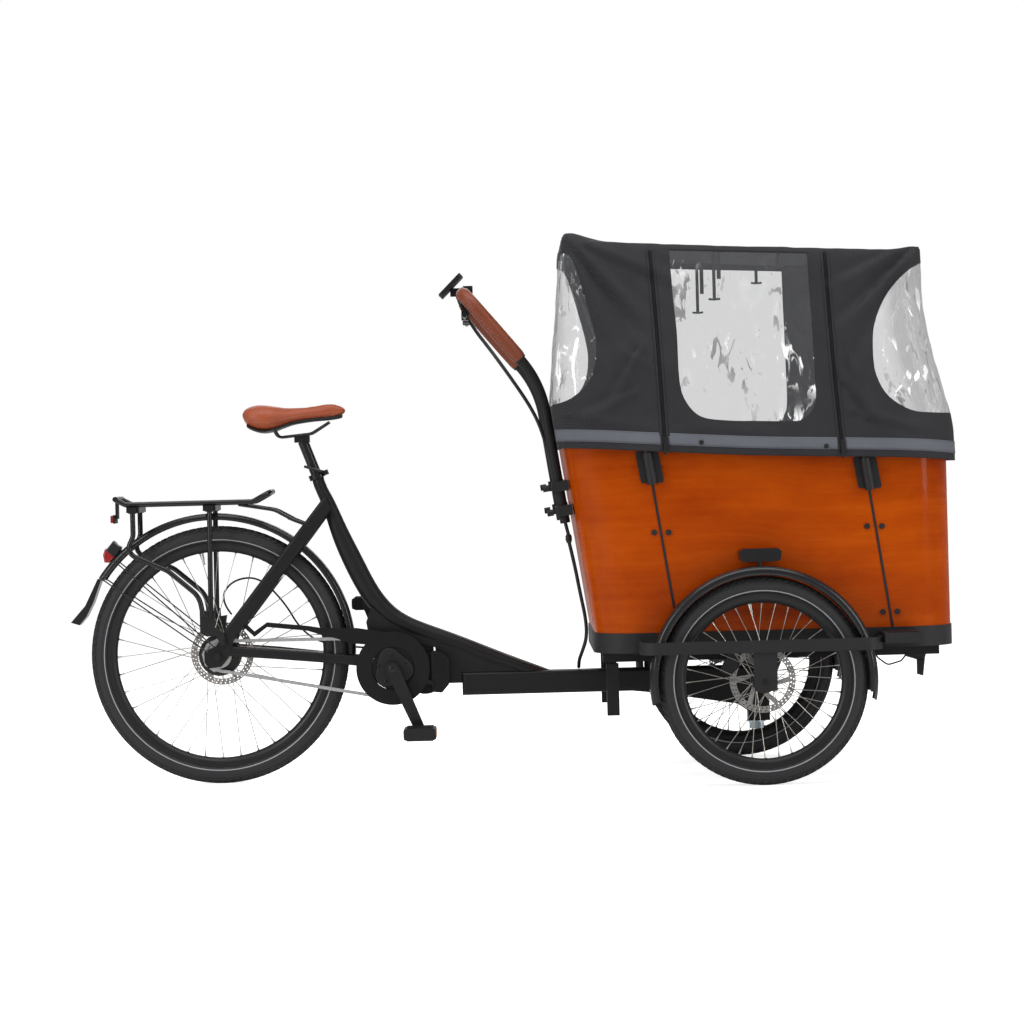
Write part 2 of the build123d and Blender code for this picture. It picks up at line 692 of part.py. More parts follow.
with BuildPart() as box_panel_rear:
    add_box_walls()
    split(bisect_by=rear_seam_plane.offset(-seam_width / 2), keep=Keep.BOTTOM)
box_panel_rear.part.label = "box_panel_rear"
export_step(box_panel_rear.part, "parts/box_panel_rear.step")

with BuildPart() as box_panel_front:
    add_box_walls()
    split(bisect_by=front_seam_plane.offset(seam_width / 2), keep=Keep.TOP)
box_panel_front.part.label = "box_panel_front"
export_step(box_panel_front.part, "parts/box_panel_front.step")

with BuildPart() as box_sides:
    add_box_walls()
    split(bisect_by=rear_seam_plane.offset(seam_width / 2), keep=Keep.TOP)
    split(bisect_by=front_seam_plane.offset(-seam_width / 2), keep=Keep.BOTTOM)
box_sides.part.label = "box_sides"
export_step(box_sides.part, "parts/box_sides.step")



# dark profile that fills one joint on both sides of the box
def seam_profile(seam):
    with BuildPart(mode=Mode.PRIVATE) as profile:
        for inset, mode in ((1.5, Mode.ADD), (-box_wall - 1.5, Mode.SUBTRACT)):
            low = plan_outline(box_bottom, *box_section(box_bottom), box_corner, inset)
            high = plan_outline(box_top, *box_section(box_top), box_corner + 8, inset)
            loft([low, high], mode=mode)
        split(bisect_by=box_edge_plane, keep=Keep.BOTTOM)
        split(bisect_by=seam.offset(0.05 - seam_width / 2), keep=Keep.TOP)
        split(bisect_by=seam.offset(seam_width / 2 - 0.05), keep=Keep.BOTTOM)
    return profile.part


with BuildPart() as box_fittings:
    add(seam_profile(rear_seam_plane))
    add(seam_profile(front_seam_plane))
    # screws with domed heads, in pairs beside each joint
    for station, height in ((1090, 615), (1125, 614), (1606, 617), (1642, 616), (1641, 408), (1676, 408)):
        for side in (-1, 1):
            face_y = box_section(height)[2]
            cross_bar(station, height, *sorted((side * (face_y + 0.4), side * (face_y + 3.4))), 7)
box_fittings.part.label = "box_fittings"
export_step(box_fittings.part, "parts/box_fittings.step")

with BuildPart() as box_tray:
    # black metal pan that carries the panels: floor and upright rim
    rear, front, half = box_section(box_bottom)
    sheet = 3.0
    extrude(plan_outline(tray_bottom, rear, front, half, box_corner, sheet), amount=box_bottom - tray_bottom - 0.1)
    hollow = plan_outline(tray_bottom + sheet, rear, front, half, box_corner, 0)
    extrude(hollow, amount=box_bottom - tray_bottom - 2 * sheet, mode=Mode.SUBTRACT)
    opening = plan_outline(box_bottom - 5, rear, front, half, box_corner, -box_wall)
    extrude(opening, amount=10, mode=Mode.SUBTRACT)
    rod(spot(steer_x, 0, 300), spot(steer_x, 0, 330), kingpin_radius + 4, mode=Mode.SUBTRACT)
box_tray.part.label = "box_tray"
export_step(box_tray.part, "parts/box_tray.step")

floor_joint_x = 1233.0
with BuildPart() as box_floor:
    floor_low = tray_bottom + 3.1
    board = plan_outline(floor_low, rear, front, half, box_corner, -box_wall - 1)
    extrude(board, amount=12)
    # a board under the bench and a clear one ahead of it
    block(spot(floor_joint_x - 1, -half, floor_low), spot(floor_joint_x, half, floor_low + 12), mode=Mode.SUBTRACT)
box_floor.part.label = "box_floor"
export_step(box_floor.part, "parts/box_floor.step")

with BuildPart() as bench:
    # seat board on two supports across the rear half of the box
    floor_top = floor_low + 12.1
    block(spot(980, -300, 560), spot(1230, 300, 572))
    block(spot(1190, -296, floor_top), spot(1202, 296, 559.9))
    for side in (-1, 1):
        block(spot(1010, side * 270 - 6, floor_top), spot(1189.9, side * 270 + 6, 559.9))
    # backrest board leaning with the rear wall
    with BuildSketch(Plane.XZ.offset(-250)) as backrest:
        Polygon(
            (ahead(box_section(573)[0] + 24), 573), (ahead(box_section(573)[0] + 36), 573),
            (ahead(box_section(800)[0] + 36), 800), (ahead(box_section(800)[0] + 24), 800), align=None,
        )
    extrude(backrest.sketch, amount=500)
bench.part.label = "bench"
export_step(bench.part, "parts/bench.step")

# canopy pole sockets, screwed to the sides over the joints
socket_up = Vector(-sin(seam_lean), 0, cos(seam_lean))
with BuildPart() as pole_sockets:
    for station, height in ((rear_socket_x, rear_socket_z), (front_socket_x, front_socket_z)):
        for side in (-1, 1):
            foot = Vector(*spot(station, side * pole_y, height)) - socket_up * 34
            top = foot + socket_up * 78
            inner = side * (box_section(height + 50)[2] + 0.4)
            plate_y = sorted((inner, side * (pole_y - pole_radius - 0.5)))
            side_plate(
                [(station - 27 + 5, height - 30), (station + 29 + 5, height - 30), (station + 27 - 6, height + 46),
                 (station - 29 - 6, height + 46)],
                *plate_y, rounding=6,
            )
            rod(foot, top, pole_radius + 4)
        for side in (-1, 1):
            foot = Vector(*spot(station, side * pole_y, height)) - socket_up * 34
            rod(foot + socket_up * 4, foot + socket_up * 90, pole_radius + 0.05, mode=Mode.SUBTRACT)
    for mode_part in (box_sides, box_panel_rear, box_panel_front, box_fittings):
        add(mode_part.part, mode=Mode.SUBTRACT)
pole_sockets.part.label = "pole_sockets"
export_step(pole_sockets.part, "parts/pole_sockets.step")

# ---------------------------------------------------------------- front wheels and their surrounds
guard_y = 434.0
guard_rear = 1045.0
guard_front = 1629.0

with BuildPart() as wheel_guards:
    for side in (-1, 1):
        # flat bar that leaves the tray, runs outside the wheel and comes back
        inner = side * (box_half_width + 3.2)
        with BuildLine() as bar_line:
            FilletPolyline(
                spot(guard_rear + 3, inner, 338), spot(guard_rear + 3, side * guard_y, 338),
                spot(guard_front - 3, side * guard_y, 338), spot(guard_front - 3, inner, 338), radius=42,
            )
        bar_path = bar_line.line
        with BuildSketch(Plane(origin=bar_path @ 0, x_dir=(1, 0, 0), z_dir=bar_path % 0)) as bar_section:
            Rectangle(5, 30)
        sweep(bar_section.sketch, path=bar_path)
        # centre plate down to the axle end
        low, high = sorted((side * (guard_y - 2.7), side * (guard_y - 7.5)))
        side_plate([(1315, 352), (1316, 231), (1371, 231), (1373, 352)], low, high)
        cross_bar(wheelbase, front_radius, low - 1, high + 1, axle_radius + 0.02, mode=Mode.SUBTRACT)
        # ridged foot step ahead of the bar
        low, high = sorted((side * (box_half_width + 3.3), side * 426))
        side_plate([(1632, 337), (1716, 337), (1721, 344), (1721, 356), (1714, 362), (1632, 362)], low, high)
        for ridge in range(8):
            ridge_x = 1642 + ridge * 10
            block(spot(ridge_x, low + 6, 361.5), spot(ridge_x + 4, high - 6, 364.5))
wheel_guards.part.label = "wheel_guards"
export_step(wheel_guards.part, "parts/wheel_guards.step")

front_guard_radius = 275.0
with BuildPart() as front_fenders:
    for side in (-1, 1):
        wheel_y = side * half_track
        curved_strip(wheelbase, wheel_y, front_radius, front_guard_radius, 31, 2.5, 10, 14, 152)
        # rubber flaps at both ends
        curved_strip(wheelbase, wheel_y, front_radius, front_guard_radius - 0.5, 27, 3, 6, -11, 24.9)
        curved_strip(wheelbase, wheel_y, front_radius, front_guard_radius - 0.5, 27, 3, 6, 166.1, 24.9)
        # hand block above the crown, on a short stem
        low, high = sorted((side * (box_section(556)[2] + 1.6), side * 392))
        side_plate(
            [(1293, 544), (1300, 540), (1382, 540), (1390, 545), (1392, 564), (1384, 571), (1300, 571), (1290, 564)],
            low, high,
        )
        rod(spot(1341, side * 372, 527), spot(1341, side * 372, 541), 5)
    for panel in (box_sides, box_fittings):
        add(panel.part, mode=Mode.SUBTRACT)
front_fenders.part.label = "front_fenders"
export_step(front_fenders.part, "parts/front_fenders.step")

rotor_inset = 27.5
for side, side_name in ((-1, "right"), (1, "left")):
    wheel_y = side * half_track
    with BuildPart() as front_tyre:
        add_tyre(wheelbase, wheel_y, front_radius, front_radius, front_bead)
    front_tyre.part.label = f"front_tyre_{side_name}"
    export_step(front_tyre.part, f"parts/front_tyre_{side_name}.step")

    with BuildPart() as front_rim:
        add_rim(wheelbase, wheel_y, front_radius, front_bead)
    front_rim.part.label = f"front_rim_{side_name}"
    export_step(front_rim.part, f"parts/front_rim_{side_name}.step")

    with BuildPart() as front_hub:
        inner_end = wheel_y - side * 36
        outer_end = wheel_y + side * 40
        cross_bar(wheelbase, front_radius, *sorted((inner_end, outer_end)), 15)
        for flange in (-21, 25):
            flange_y = wheel_y + side * flange
            cross_bar(wheelbase, front_radius, flange_y - 2, flange_y + 2, 27)
        add_spokes(wheelbase, wheel_y + side * 2, front_radius, 26.5, 23, front_bead - rim_depth - 0.2, radians(34))
        add_rotor(wheelbase, wheel_y - side * rotor_inset, front_radius, 12)
        cross_bar(wheelbase, front_radius, wheel_y - 60, wheel_y + 60, axle_radius + 0.05, mode=Mode.SUBTRACT)
    front_hub.part.label = f"front_hub_{side_name}"
    export_step(front_hub.part, f"parts/front_hub_{side_name}.step")

with BuildPart() as front_calipers:
    for side in (-1, 1):
        rotor_y = side * (half_track - rotor_inset)
        low, high = sorted((side * 332, rotor_y + side * 6))
        side_plate([(1250, 296), (1262, 318), (1290, 316), (1288, 286), (1262, 262), (1240, 274)], low, high)
        block(spot(1266, rotor_y - 2, 200), spot(1320, rotor_y + 2, 330), mode=Mode.SUBTRACT)
        block(spot(1240, rotor_y - 2, 240), spot(1268, rotor_y + 2, 312), mode=Mode.SUBTRACT)
        # bolt ears on the axle plate
        cross_bar(1305, 298, *sorted((side * 331.2, side * 337)), 7)
front_calipers.part.label = "front_calipers"
export_step(front_calipers.part, "parts/front_calipers.step")

with BuildPart() as headlight:
    rod(spot(1728, -96, 302), spot(1772, -96, 288), 19)
    block(spot(1735, -100, 304), spot(1745, -92, 321.9))
    side_plate([(1752, 286), (1772, 284), (1766, 234), (1752, 238)], -104, -88)
    tube([spot(1732, -92, 296), spot(1714, -88, 272), spot(1680, -84, 262), spot(1652, -80, 284),
          spot(1650, -80, 321.8)], [14, 16, 18], 2)
headlight.part.label = "headlight"
export_step(headlight.part, "parts/headlight.step")

# ---------------------------------------------------------------- handlebar
leg_up = Vector(-sin(seam_lean), 0, cos(seam_lean))


def leg_point(side, z):
    return Vector(*spot(leg_x + lean_shift(z, leg_z), side * leg_y, z))


bend_z = 988.0
bar_route = [
    leg_point(-1, 642), leg_point(-1, bend_z), Vector(*spot(bar_top_x, -bar_half_width, bar_top_z)),
    Vector(*spot(bar_top_x, bar_half_width, bar_top_z)), leg_point(1, bend_z), leg_point(1, 642),
]
with BuildPart() as handlebar:
    tube(bar_route, [260, bar_corner, bar_corner, 260], leg_radius, leg_radius - 2)
handlebar.part.label = "handlebar"
export_step(handlebar.part, "parts/handlebar.step")

with BuildPart() as grips:
    for side in (-1, 1):
        top = Vector(*spot(bar_top_x, side * bar_half_width, bar_top_z))
        bend = leg_point(side, bend_z)
        start = top + (bend - top).normalized() * 212
        tube([start, top, Vector(*spot(bar_top_x, side * 204, bar_top_z))], [bar_corner], grip_radius, leg_radius + 0.05)
grips.part.label = "grips"
export_step(grips.part, "parts/grips.step")

with BuildPart() as twist_shifter:
    cross_bar(bar_top_x, bar_top_z, -203, -166, 19)
    cross_bar(bar_top_x, bar_top_z, -210, -160, leg_radius + 0.05, mode=Mode.SUBTRACT)
twist_shifter.part.label = "twist_shifter"
export_step(twist_shifter.part, "parts/twist_shifter.step")

with BuildPart() as display:
    face_tilt = Plane(origin=spot(612, 0, 1240), x_dir=(0, 1, 0), z_dir=(-0.7, 0, 0.7))
    with BuildSketch(face_tilt) as screen:
        RectangleRounded(92, 76, 10)
    extrude(screen.sketch, amount=12, both=False)
    # bracket and clamp on the bar
    block(spot(606, -14, 1218), spot(634, 14, 1238))
    cross_bar(bar_top_x, bar_top_z, -14, 14, 18)
    # assist switch beside it
    cross_bar(bar_top_x, bar_top_z, -158, -140, 16)
    block(spot(640, -158, 1216), spot(664, -130, 1234))
    cross_bar(bar_top_x, bar_top_z, -170, 30, leg_radius + 0.05, mode=Mode.SUBTRACT)
display.part.label = "display"
export_step(display.part, "parts/display.step")

lever_z = bar_top_z - 48
lever_x = bar_top_x + 2
lever_pivot_y = 131.5
with BuildPart() as lever_mounts:
    for side in (-1, 1):
        cross_bar(bar_top_x, bar_top_z, *sorted((side * 104, side * 126)), 17)
        block(spot(lever_x - 9, min(side * 104, side * 126), lever_z - 10),
              spot(lever_x + 9, max(side * 104, side * 126), bar_top_z - 12))
        block(spot(lever_x - 7, min(side * 40, side * 104), lever_z - 8),
              spot(lever_x + 7, max(side * 40, side * 104), lever_z + 10))
    cross_bar(bar_top_x, bar_top_z, -130, 130, leg_radius + 0.05, mode=Mode.SUBTRACT)
lever_mounts.part.label = "lever_mounts"
export_step(lever_mounts.part, "parts/lever_mounts.step")

for side, side_name in ((-1, "right"), (1, "left")):
    with BuildPart() as brake_lever:
        # pivot pin and the curved blade
        rod(spot(lever_x - 9, side * lever_pivot_y, lever_z), spot(lever_x + 9, side * lever_pivot_y, lever_z), 4.5)
        tube([spot(lever_x, side * lever_pivot_y, lever_z), spot(lever_x, side * 170, lever_z - 6),
              spot(lever_x, side * 236, lever_z - 3)], 60, 5.5)
    brake_lever.part.label = f"brake_lever_{side_name}"
    export_step(brake_lever.part, f"parts/brake_lever_{side_name}.step")

with BuildPart() as bar_clamps:
    for height in (672, 732):
        for side in (-1, 1):
            centre = leg_point(side, height)
            wall_gap = ahead(box_section(height)[0]) - centre.X
            hold = Plane(origin=centre, x_dir=(cos(seam_lean), 0, sin(seam_lean)), z_dir=leg_up)
            with Locations(hold.location):
                with Locations(((wall_gap - 20) / 2, 0, 0)):
                    Box(wall_gap + 16, 40, 26)
                with Locations((-32, 0, 0)):
                    Cylinder(8, 16, rotation=(0, 90, 0))
            rod(centre - leg_up * 20, centre + leg_up * 20, leg_radius + 0.05, mode=Mode.SUBTRACT)
    add(box_panel_rear.part, mode=Mode.SUBTRACT)
bar_clamps.part.label = "bar_clamps"
export_step(bar_clamps.part, "parts/bar_clamps.step")

# ---------------------------------------------------------------- cables
loom_y = -200.0
loom_joint_z = 606.0
upper_loom_points = [
    spot(654, -84, 1150), spot(668, -120, 1124), spot(703, -168, 1076), spot(748, -196, 1010),
    spot(800, -206, 930), spot(826, -206, 872), spot(843, -206, 800), spot(856, -206, 730),
    spot(872, -206, 668), spot(885, -204, loom_joint_z + 6),
]
with BuildPart() as upper_loom:
    tube(upper_loom_points, [34, 60, 90, 110, 120, 200, 200, 200], 4.5)
upper_loom.part.label = "upper_loom"
export_step(upper_loom.part, "parts/upper_loom.step")

lower_loom_points = [
    spot(886, -204, loom_joint_z - 12), spot(898, -200, 540), spot(910, -188, 470), spot(924, -160, 400),
    spot(926, -120, 352), spot(914, -70, 312), spot(907, -28, 290), spot(907, -4, main_tube_top + 6),
]
with BuildPart() as lower_loom:
    rod(spot(885, -204, loom_joint_z + 5), spot(886, -204, loom_joint_z - 11.5), 8)
    tube(lower_loom_points, [120, 120, 90, 60, 50, 26], 4.5)
lower_loom.part.label = "lower_loom"
export_step(lower_loom.part, "parts/lower_loom.step")

# ---------------------------------------------------------------- canopy
# plan sections of the fabric: height, rear end, front end, half width, corner
canopy_sections = [
    (760, 868, 1835, 370, 112), (830, 866, 1831, 369, 112), (940, 850, 1812, 362, 104), (1050, 856, 1782, 354, 92),
    (1150, 868, 1764, 342, 80), (1270, 880, 1762, 326, 66), (1370, 888, 1762, 314, 56),
]
canopy_roof_plane = Plane(origin=spot(888, 0, 1350), z_dir=(55, 0, 872))
canopy_hem_plane = Plane(origin=spot(963, 0, 820), z_dir=(38, 0, 725))
zip_rear_plane = Plane(origin=spot(1107, 0, 1111), z_dir=(488, 0, 26))
zip_front_plane = Plane(origin=spot(1530, 0, 1035), z_dir=(490, 0, 26))


def canopy_body(roof_cut, hem_cut, inset):
    with BuildPart(mode=Mode.PRIVATE) as body:
        loft([plan_outline(z, rear, front, half, corner, inset)
              for z, rear, front, half, corner in canopy_sections], ruled=True)
        split(bisect_by=roof_cut, keep=Keep.BOTTOM)
        split(bisect_by=hem_cut, keep=Keep.TOP)
    return body.part


canopy_outer = canopy_body(canopy_roof_plane, canopy_hem_plane, 0)
canopy_inner = canopy_body(canopy_roof_plane.offset(-canopy_wall), canopy_hem_plane.offset(-20), -canopy_wall)
roof_split = canopy_roof_plane.offset(-canopy_wall - 0.1)

with BuildPart() as canopy_roof:
    add(canopy_outer)
    split(bisect_by=canopy_roof_plane.offset(-canopy_wall), keep=Keep.TOP)
canopy_roof.part.label = "canopy_roof"
export_step(canopy_roof.part, "parts/canopy_roof.step")

with BuildPart() as canopy_sides:
    add(canopy_outer)
    add(canopy_inner, mode=Mode.SUBTRACT)
    split(bisect_by=roof_split, keep=Keep.BOTTOM)
    split(bisect_by=zip_rear_plane.offset(0.5), keep=Keep.TOP)
    split(bisect_by=zip_front_plane.offset(-0.5), keep=Keep.BOTTOM)
canopy_sides.part.label = "canopy_sides"
export_step(canopy_sides.part, "parts/canopy_sides.step")

# rear and front walls, each wrapping round two corners
with BuildPart() as canopy_ends:
    for seam, keep in ((zip_rear_plane.offset(-0.5), Keep.BOTTOM), (zip_front_plane.offset(0.5), Keep.TOP)):
        with BuildPart(mode=Mode.PRIVATE) as end_wall:
            add(canopy_outer)
            add(canopy_inner, mode=Mode.SUBTRACT)
            split(bisect_by=roof_split, keep=Keep.BOTTOM)
            split(bisect_by=seam, keep=keep)
        add(end_wall.part)
canopy_ends.part.label = "canopy_ends"
export_step(canopy_ends.part, "parts/canopy_ends.step")

# the front hoop bends forward half way up, the rear one is straight from its socket to its top
with BuildPart() as canopy_poles:
    for station, height, bends, top_x, top_z, arcs in (
        (rear_socket_x, rear_socket_z, [], 912, 1328, [70, 50]),
        (front_socket_x, front_socket_z, [(1585, 1110)], 1738, 1276, [70, 120, 50]),
    ):
        base = Vector(*spot(station, 0, height)) - socket_up * 29
        knee = Vector(*spot(station, 0, height)) + socket_up * 140
        halves = []
        for side in (-1, 1):
            sideways = Vector(0, side * pole_y, 0)
            upper = [Vector(*spot(x, side * pole_bend_y, z)) for x, z in bends]
            crown = Vector(*spot(top_x, side * hoop_half_width, top_z))
            halves.append([base + sideways, knee + sideways, *upper, crown])
        tube(halves[0] + halves[1][::-1], arcs + arcs[::-1], pole_radius, pole_radius - 1.5)
canopy_poles.part.label = "canopy_poles"
export_step(canopy_poles.part, "parts/canopy_poles.step")
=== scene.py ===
from math import asin, atan2, cos, exp, hypot, pi, radians, sin, tan

import bmesh
import bpy
from mathutils import Matrix, Vector, noise
from mathutils.bvhtree import BVHTree


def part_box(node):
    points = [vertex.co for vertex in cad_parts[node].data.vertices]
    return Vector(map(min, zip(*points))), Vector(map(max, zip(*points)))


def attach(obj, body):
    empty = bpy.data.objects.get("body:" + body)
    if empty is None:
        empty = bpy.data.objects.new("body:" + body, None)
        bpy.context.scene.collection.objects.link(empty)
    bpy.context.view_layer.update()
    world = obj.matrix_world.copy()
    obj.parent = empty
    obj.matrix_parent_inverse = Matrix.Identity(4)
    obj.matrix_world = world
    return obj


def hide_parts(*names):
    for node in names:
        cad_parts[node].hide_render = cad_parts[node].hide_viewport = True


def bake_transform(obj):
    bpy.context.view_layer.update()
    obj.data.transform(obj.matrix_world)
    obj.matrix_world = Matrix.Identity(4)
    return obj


fullTurn = 2 * pi

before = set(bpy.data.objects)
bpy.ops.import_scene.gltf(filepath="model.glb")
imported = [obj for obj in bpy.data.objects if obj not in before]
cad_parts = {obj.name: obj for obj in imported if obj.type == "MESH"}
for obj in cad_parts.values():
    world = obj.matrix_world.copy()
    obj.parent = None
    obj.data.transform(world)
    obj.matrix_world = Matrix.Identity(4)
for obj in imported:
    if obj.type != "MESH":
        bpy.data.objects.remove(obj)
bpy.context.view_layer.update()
print("frame loaded")

# stations are counted in mm forward from the rear axle, as in the CAD source
tyreLow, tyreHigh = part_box("rear_tyre")
rearAxle = (tyreLow[0] + tyreHigh[0]) / 2


def at(x, y, z):
    return Vector((rearAxle + x / 1000, y / 1000, z / 1000))


def addObject(name, data):
    made = bpy.data.objects.new(name, data)
    bpy.context.scene.collection.objects.link(made)
    return made


# camera, floor and light: the stand is in mm from the rear axle and degrees
stand = {"station": 727.2, "away": 7439.9, "height": 775.5, "yaw": 0.1593, "pitch": -0.8222, "roll": -1.486,
         "lens": 103.2}


def makeCamera():
    yaw, pitch, roll = (radians(stand[k]) for k in ("yaw", "pitch", "roll"))
    ahead = Vector((sin(yaw) * cos(pitch), cos(yaw) * cos(pitch), sin(pitch)))
    level = Vector((cos(yaw), -sin(yaw), 0))
    upright = level.cross(ahead)
    right = cos(roll) * level + sin(roll) * upright
    up = cos(roll) * upright - sin(roll) * level
    data = bpy.data.cameras.new("camera")
    data.lens, data.sensor_width = stand["lens"], 36
    data.clip_start, data.clip_end = 0.1, 200
    camera = addObject("camera", data)
    turn = Matrix((right, up, -ahead)).transposed()
    camera.matrix_world = Matrix.Translation(at(stand["station"], -stand["away"],
                                                stand["height"])) @ turn.to_4x4()
    bpy.context.scene.camera = camera


def makeFloor():
    mesh = bpy.data.meshes.new("floor")
    mesh.from_pydata([(-60, -60, 0), (60, -60, 0), (60, 60, 0), (-60, 60, 0)], [], [(0, 1, 2, 3)])
    floor = addObject("floor", mesh)
    material = bpy.data.materials.new("paleFloor")
    material.use_nodes = True
    shader = material.node_tree.nodes["Principled BSDF"]
    shader.inputs["Base Color"].default_value = (0.9, 0.9, 0.9, 1)
    shader.inputs["Roughness"].default_value = 0.7
    shader.inputs["Specular IOR Level"].default_value = 0.1
    shader.inputs["Emission Color"].default_value = (1, 1, 1, 1)
    path = material.node_tree.nodes.new("ShaderNodeLightPath")
    glow = material.node_tree.nodes.new("ShaderNodeMath")
    glow.operation = "MULTIPLY"
    glow.inputs[1].default_value = 0.72
    material.node_tree.links.new(path.outputs["Is Camera Ray"], glow.inputs[0])
    material.node_tree.links.new(glow.outputs[0], shader.inputs["Emission Strength"])
    mesh.materials.append(material)


def softLight(name, place, aim, width, height, power):
    data = bpy.data.lights.new(name, "AREA")
    data.shape, data.size, data.size_y, data.energy = "RECTANGLE", width, height, power
    light = addObject(name, data)
    light.location = place
    light.rotation_euler = (Vector(aim) - Vector(place)).to_track_quat("-Z", "Y").to_euler()


def makeLight():
    world = bpy.data.worlds.new("studio")
    bpy.context.scene.world = world
    world.use_nodes = True
    tree = world.node_tree
    room = tree.nodes["Background"]
    room.inputs["Color"].default_value = (1, 1, 1, 1)
    room.inputs["Strength"].default_value = 0.36
    wall = tree.nodes.new("ShaderNodeBackground")
    wall.inputs["Color"].default_value = (1, 1, 1, 1)
    wall.inputs["Strength"].default_value = 1.0
    path = tree.nodes.new("ShaderNodeLightPath")
    mix = tree.nodes.new("ShaderNodeMixShader")
    tree.links.new(path.outputs["Is Camera Ray"], mix.inputs["Fac"])
    tree.links.new(room.outputs["Background"], mix.inputs[1])
    tree.links.new(wall.outputs["Background"], mix.inputs[2])
    tree.links.new(mix.outputs["Shader"], tree.nodes["World Output"].inputs["Surface"])
    softLight("overhead", (0.1, -1.2, 4.2), (0.1, 0, 0.5), 4.5, 3.0, 120)
    softLight("leftStrip", (-3.2, -2.6, 1.9), (0.2, 0, 0.7), 0.8, 2.6, 60)
    softLight("rightStrip", (3.6, -2.4, 1.7), (0.4, 0, 0.7), 0.8, 2.6, 45)
    softLight("backFill", (0, 4.0, 2.6), (0, 0, 0.6), 4.0, 2.0, 60)


makeCamera()
makeFloor()
makeLight()
bpy.context.scene.view_settings.view_transform = "Standard"
print("camera, floor and light made")


# finishes: node groups for the surfaces, then one material for each finish
def makeGroup(name, inputs, outputs):
    group = bpy.data.node_groups.new(name, "ShaderNodeTree")
    for label, kind, value in inputs:
        group.interface.new_socket(label, in_out="INPUT", socket_type=kind).default_value = value
    for label, kind in outputs:
        group.interface.new_socket(label, in_out="OUTPUT", socket_type=kind)
    return group, group.nodes.new("NodeGroupInput").outputs, group.nodes.new("NodeGroupOutput").inputs


def addNode(tree, kind, links=(), **settings):
    node = tree.nodes.new(kind)
    for key, value in settings.items():
        if key[0] == "_":
            node.inputs[key[1:].replace("_", " ")].default_value = value
        else:
            setattr(node, key, value)
    for socket, source in dict(links).items():
        tree.links.new(source, node.inputs[socket])
    return node


def addNoise(tree, vector, scale, detail=2.0, rough=0.5, twist=0.0):
    node = addNode(tree, "ShaderNodeTexNoise", {"Vector": vector}, _Detail=detail, _Roughness=rough,
                   _Distortion=twist)
    if isinstance(scale, (int, float)):
        node.inputs["Scale"].default_value = scale
    else:
        tree.links.new(scale, node.inputs["Scale"])
    return node.outputs["Fac"]


def addMath(tree, operation, first, second=None, clamp=False):
    node = addNode(tree, "ShaderNodeMath", operation=operation, use_clamp=clamp)
    for slot, value in enumerate((first, second)):
        if isinstance(value, (int, float)):
            node.inputs[slot].default_value = value
        elif value is not None:
            tree.links.new(value, node.inputs[slot])
    return node.outputs[0]


def addRange(tree, value, low, high, newLow=0.0, newHigh=1.0):
    node = addNode(tree, "ShaderNodeMapRange", {"Value": value})
    for label, given in (("From Min", low), ("From Max", high), ("To Min", newLow), ("To Max", newHigh)):
        if isinstance(given, (int, float)):
            node.inputs[label].default_value = given
        else:
            tree.links.new(given, node.inputs[label])
    return node.outputs["Result"]


def addMix(tree, factor, first, second):
    node = addNode(tree, "ShaderNodeMix", data_type="RGBA")
    for slot, value in ((0, factor), (6, first), (7, second)):
        if hasattr(value, "is_linked"):
            tree.links.new(value, node.inputs[slot])
        else:
            node.inputs[slot].default_value = value if slot == 0 else (*value, 1)
    return node.outputs[2]


def stretched(tree, vector, scale):
    return addNode(tree, "ShaderNodeMapping", {"Vector": vector}, _Scale=scale).outputs["Vector"]


# coated surface: faint orange peel, cloudy gloss, and dust that lies on what faces up
def makeCoating():
    tree, given, out = makeGroup(
        "coating",
        [("Colour", "NodeSocketColor", (0.03, 0.03, 0.03, 1)),
         ("Worn Colour", "NodeSocketColor", (0.1, 0.1, 0.1, 1)),
         ("Peel Scale", "NodeSocketFloat", 700.0), ("Cloud Scale", "NodeSocketFloat", 9.0),
         ("Smooth", "NodeSocketFloat", 0.4), ("Rough", "NodeSocketFloat", 0.6),
         ("Dust", "NodeSocketFloat", 0.15)],
        [("Colour", "NodeSocketColor"), ("Roughness", "NodeSocketFloat"), ("Height", "NodeSocketFloat")])
    place = addNode(tree, "ShaderNodeTexCoord").outputs["Object"]
    peel = addNoise(tree, place, given["Peel Scale"], 3.0)
    cloud = addNoise(tree, place, given["Cloud Scale"], 4.0, 0.6)
    facing = addNode(tree, "ShaderNodeNewGeometry").outputs["Normal"]
    upward = addNode(tree, "ShaderNodeSeparateXYZ", {"Vector": facing}).outputs["Z"]
    lying = addRange(tree, upward, 0.35, 1.0)
    fleck = addRange(tree, addNoise(tree, place, 160.0, 6.0, 0.7), 0.42, 0.7)
    dust = addMath(tree, "MULTIPLY", addMath(tree, "MULTIPLY", lying, fleck), given["Dust"])
    tone = addMix(tree, addRange(tree, cloud, 0.3, 0.8, 0.0, 0.35), given["Colour"], given["Worn Colour"])
    tree.links.new(addMix(tree, dust, tone, (0.42, 0.4, 0.37)), out["Colour"])
    gloss = addRange(tree, cloud, 0.3, 0.7, given["Smooth"], given["Rough"])
    tree.links.new(addMath(tree, "ADD", gloss, addMath(tree, "MULTIPLY", dust, 0.4), True), out["Roughness"])
    tree.links.new(peel, out["Height"])
    return tree


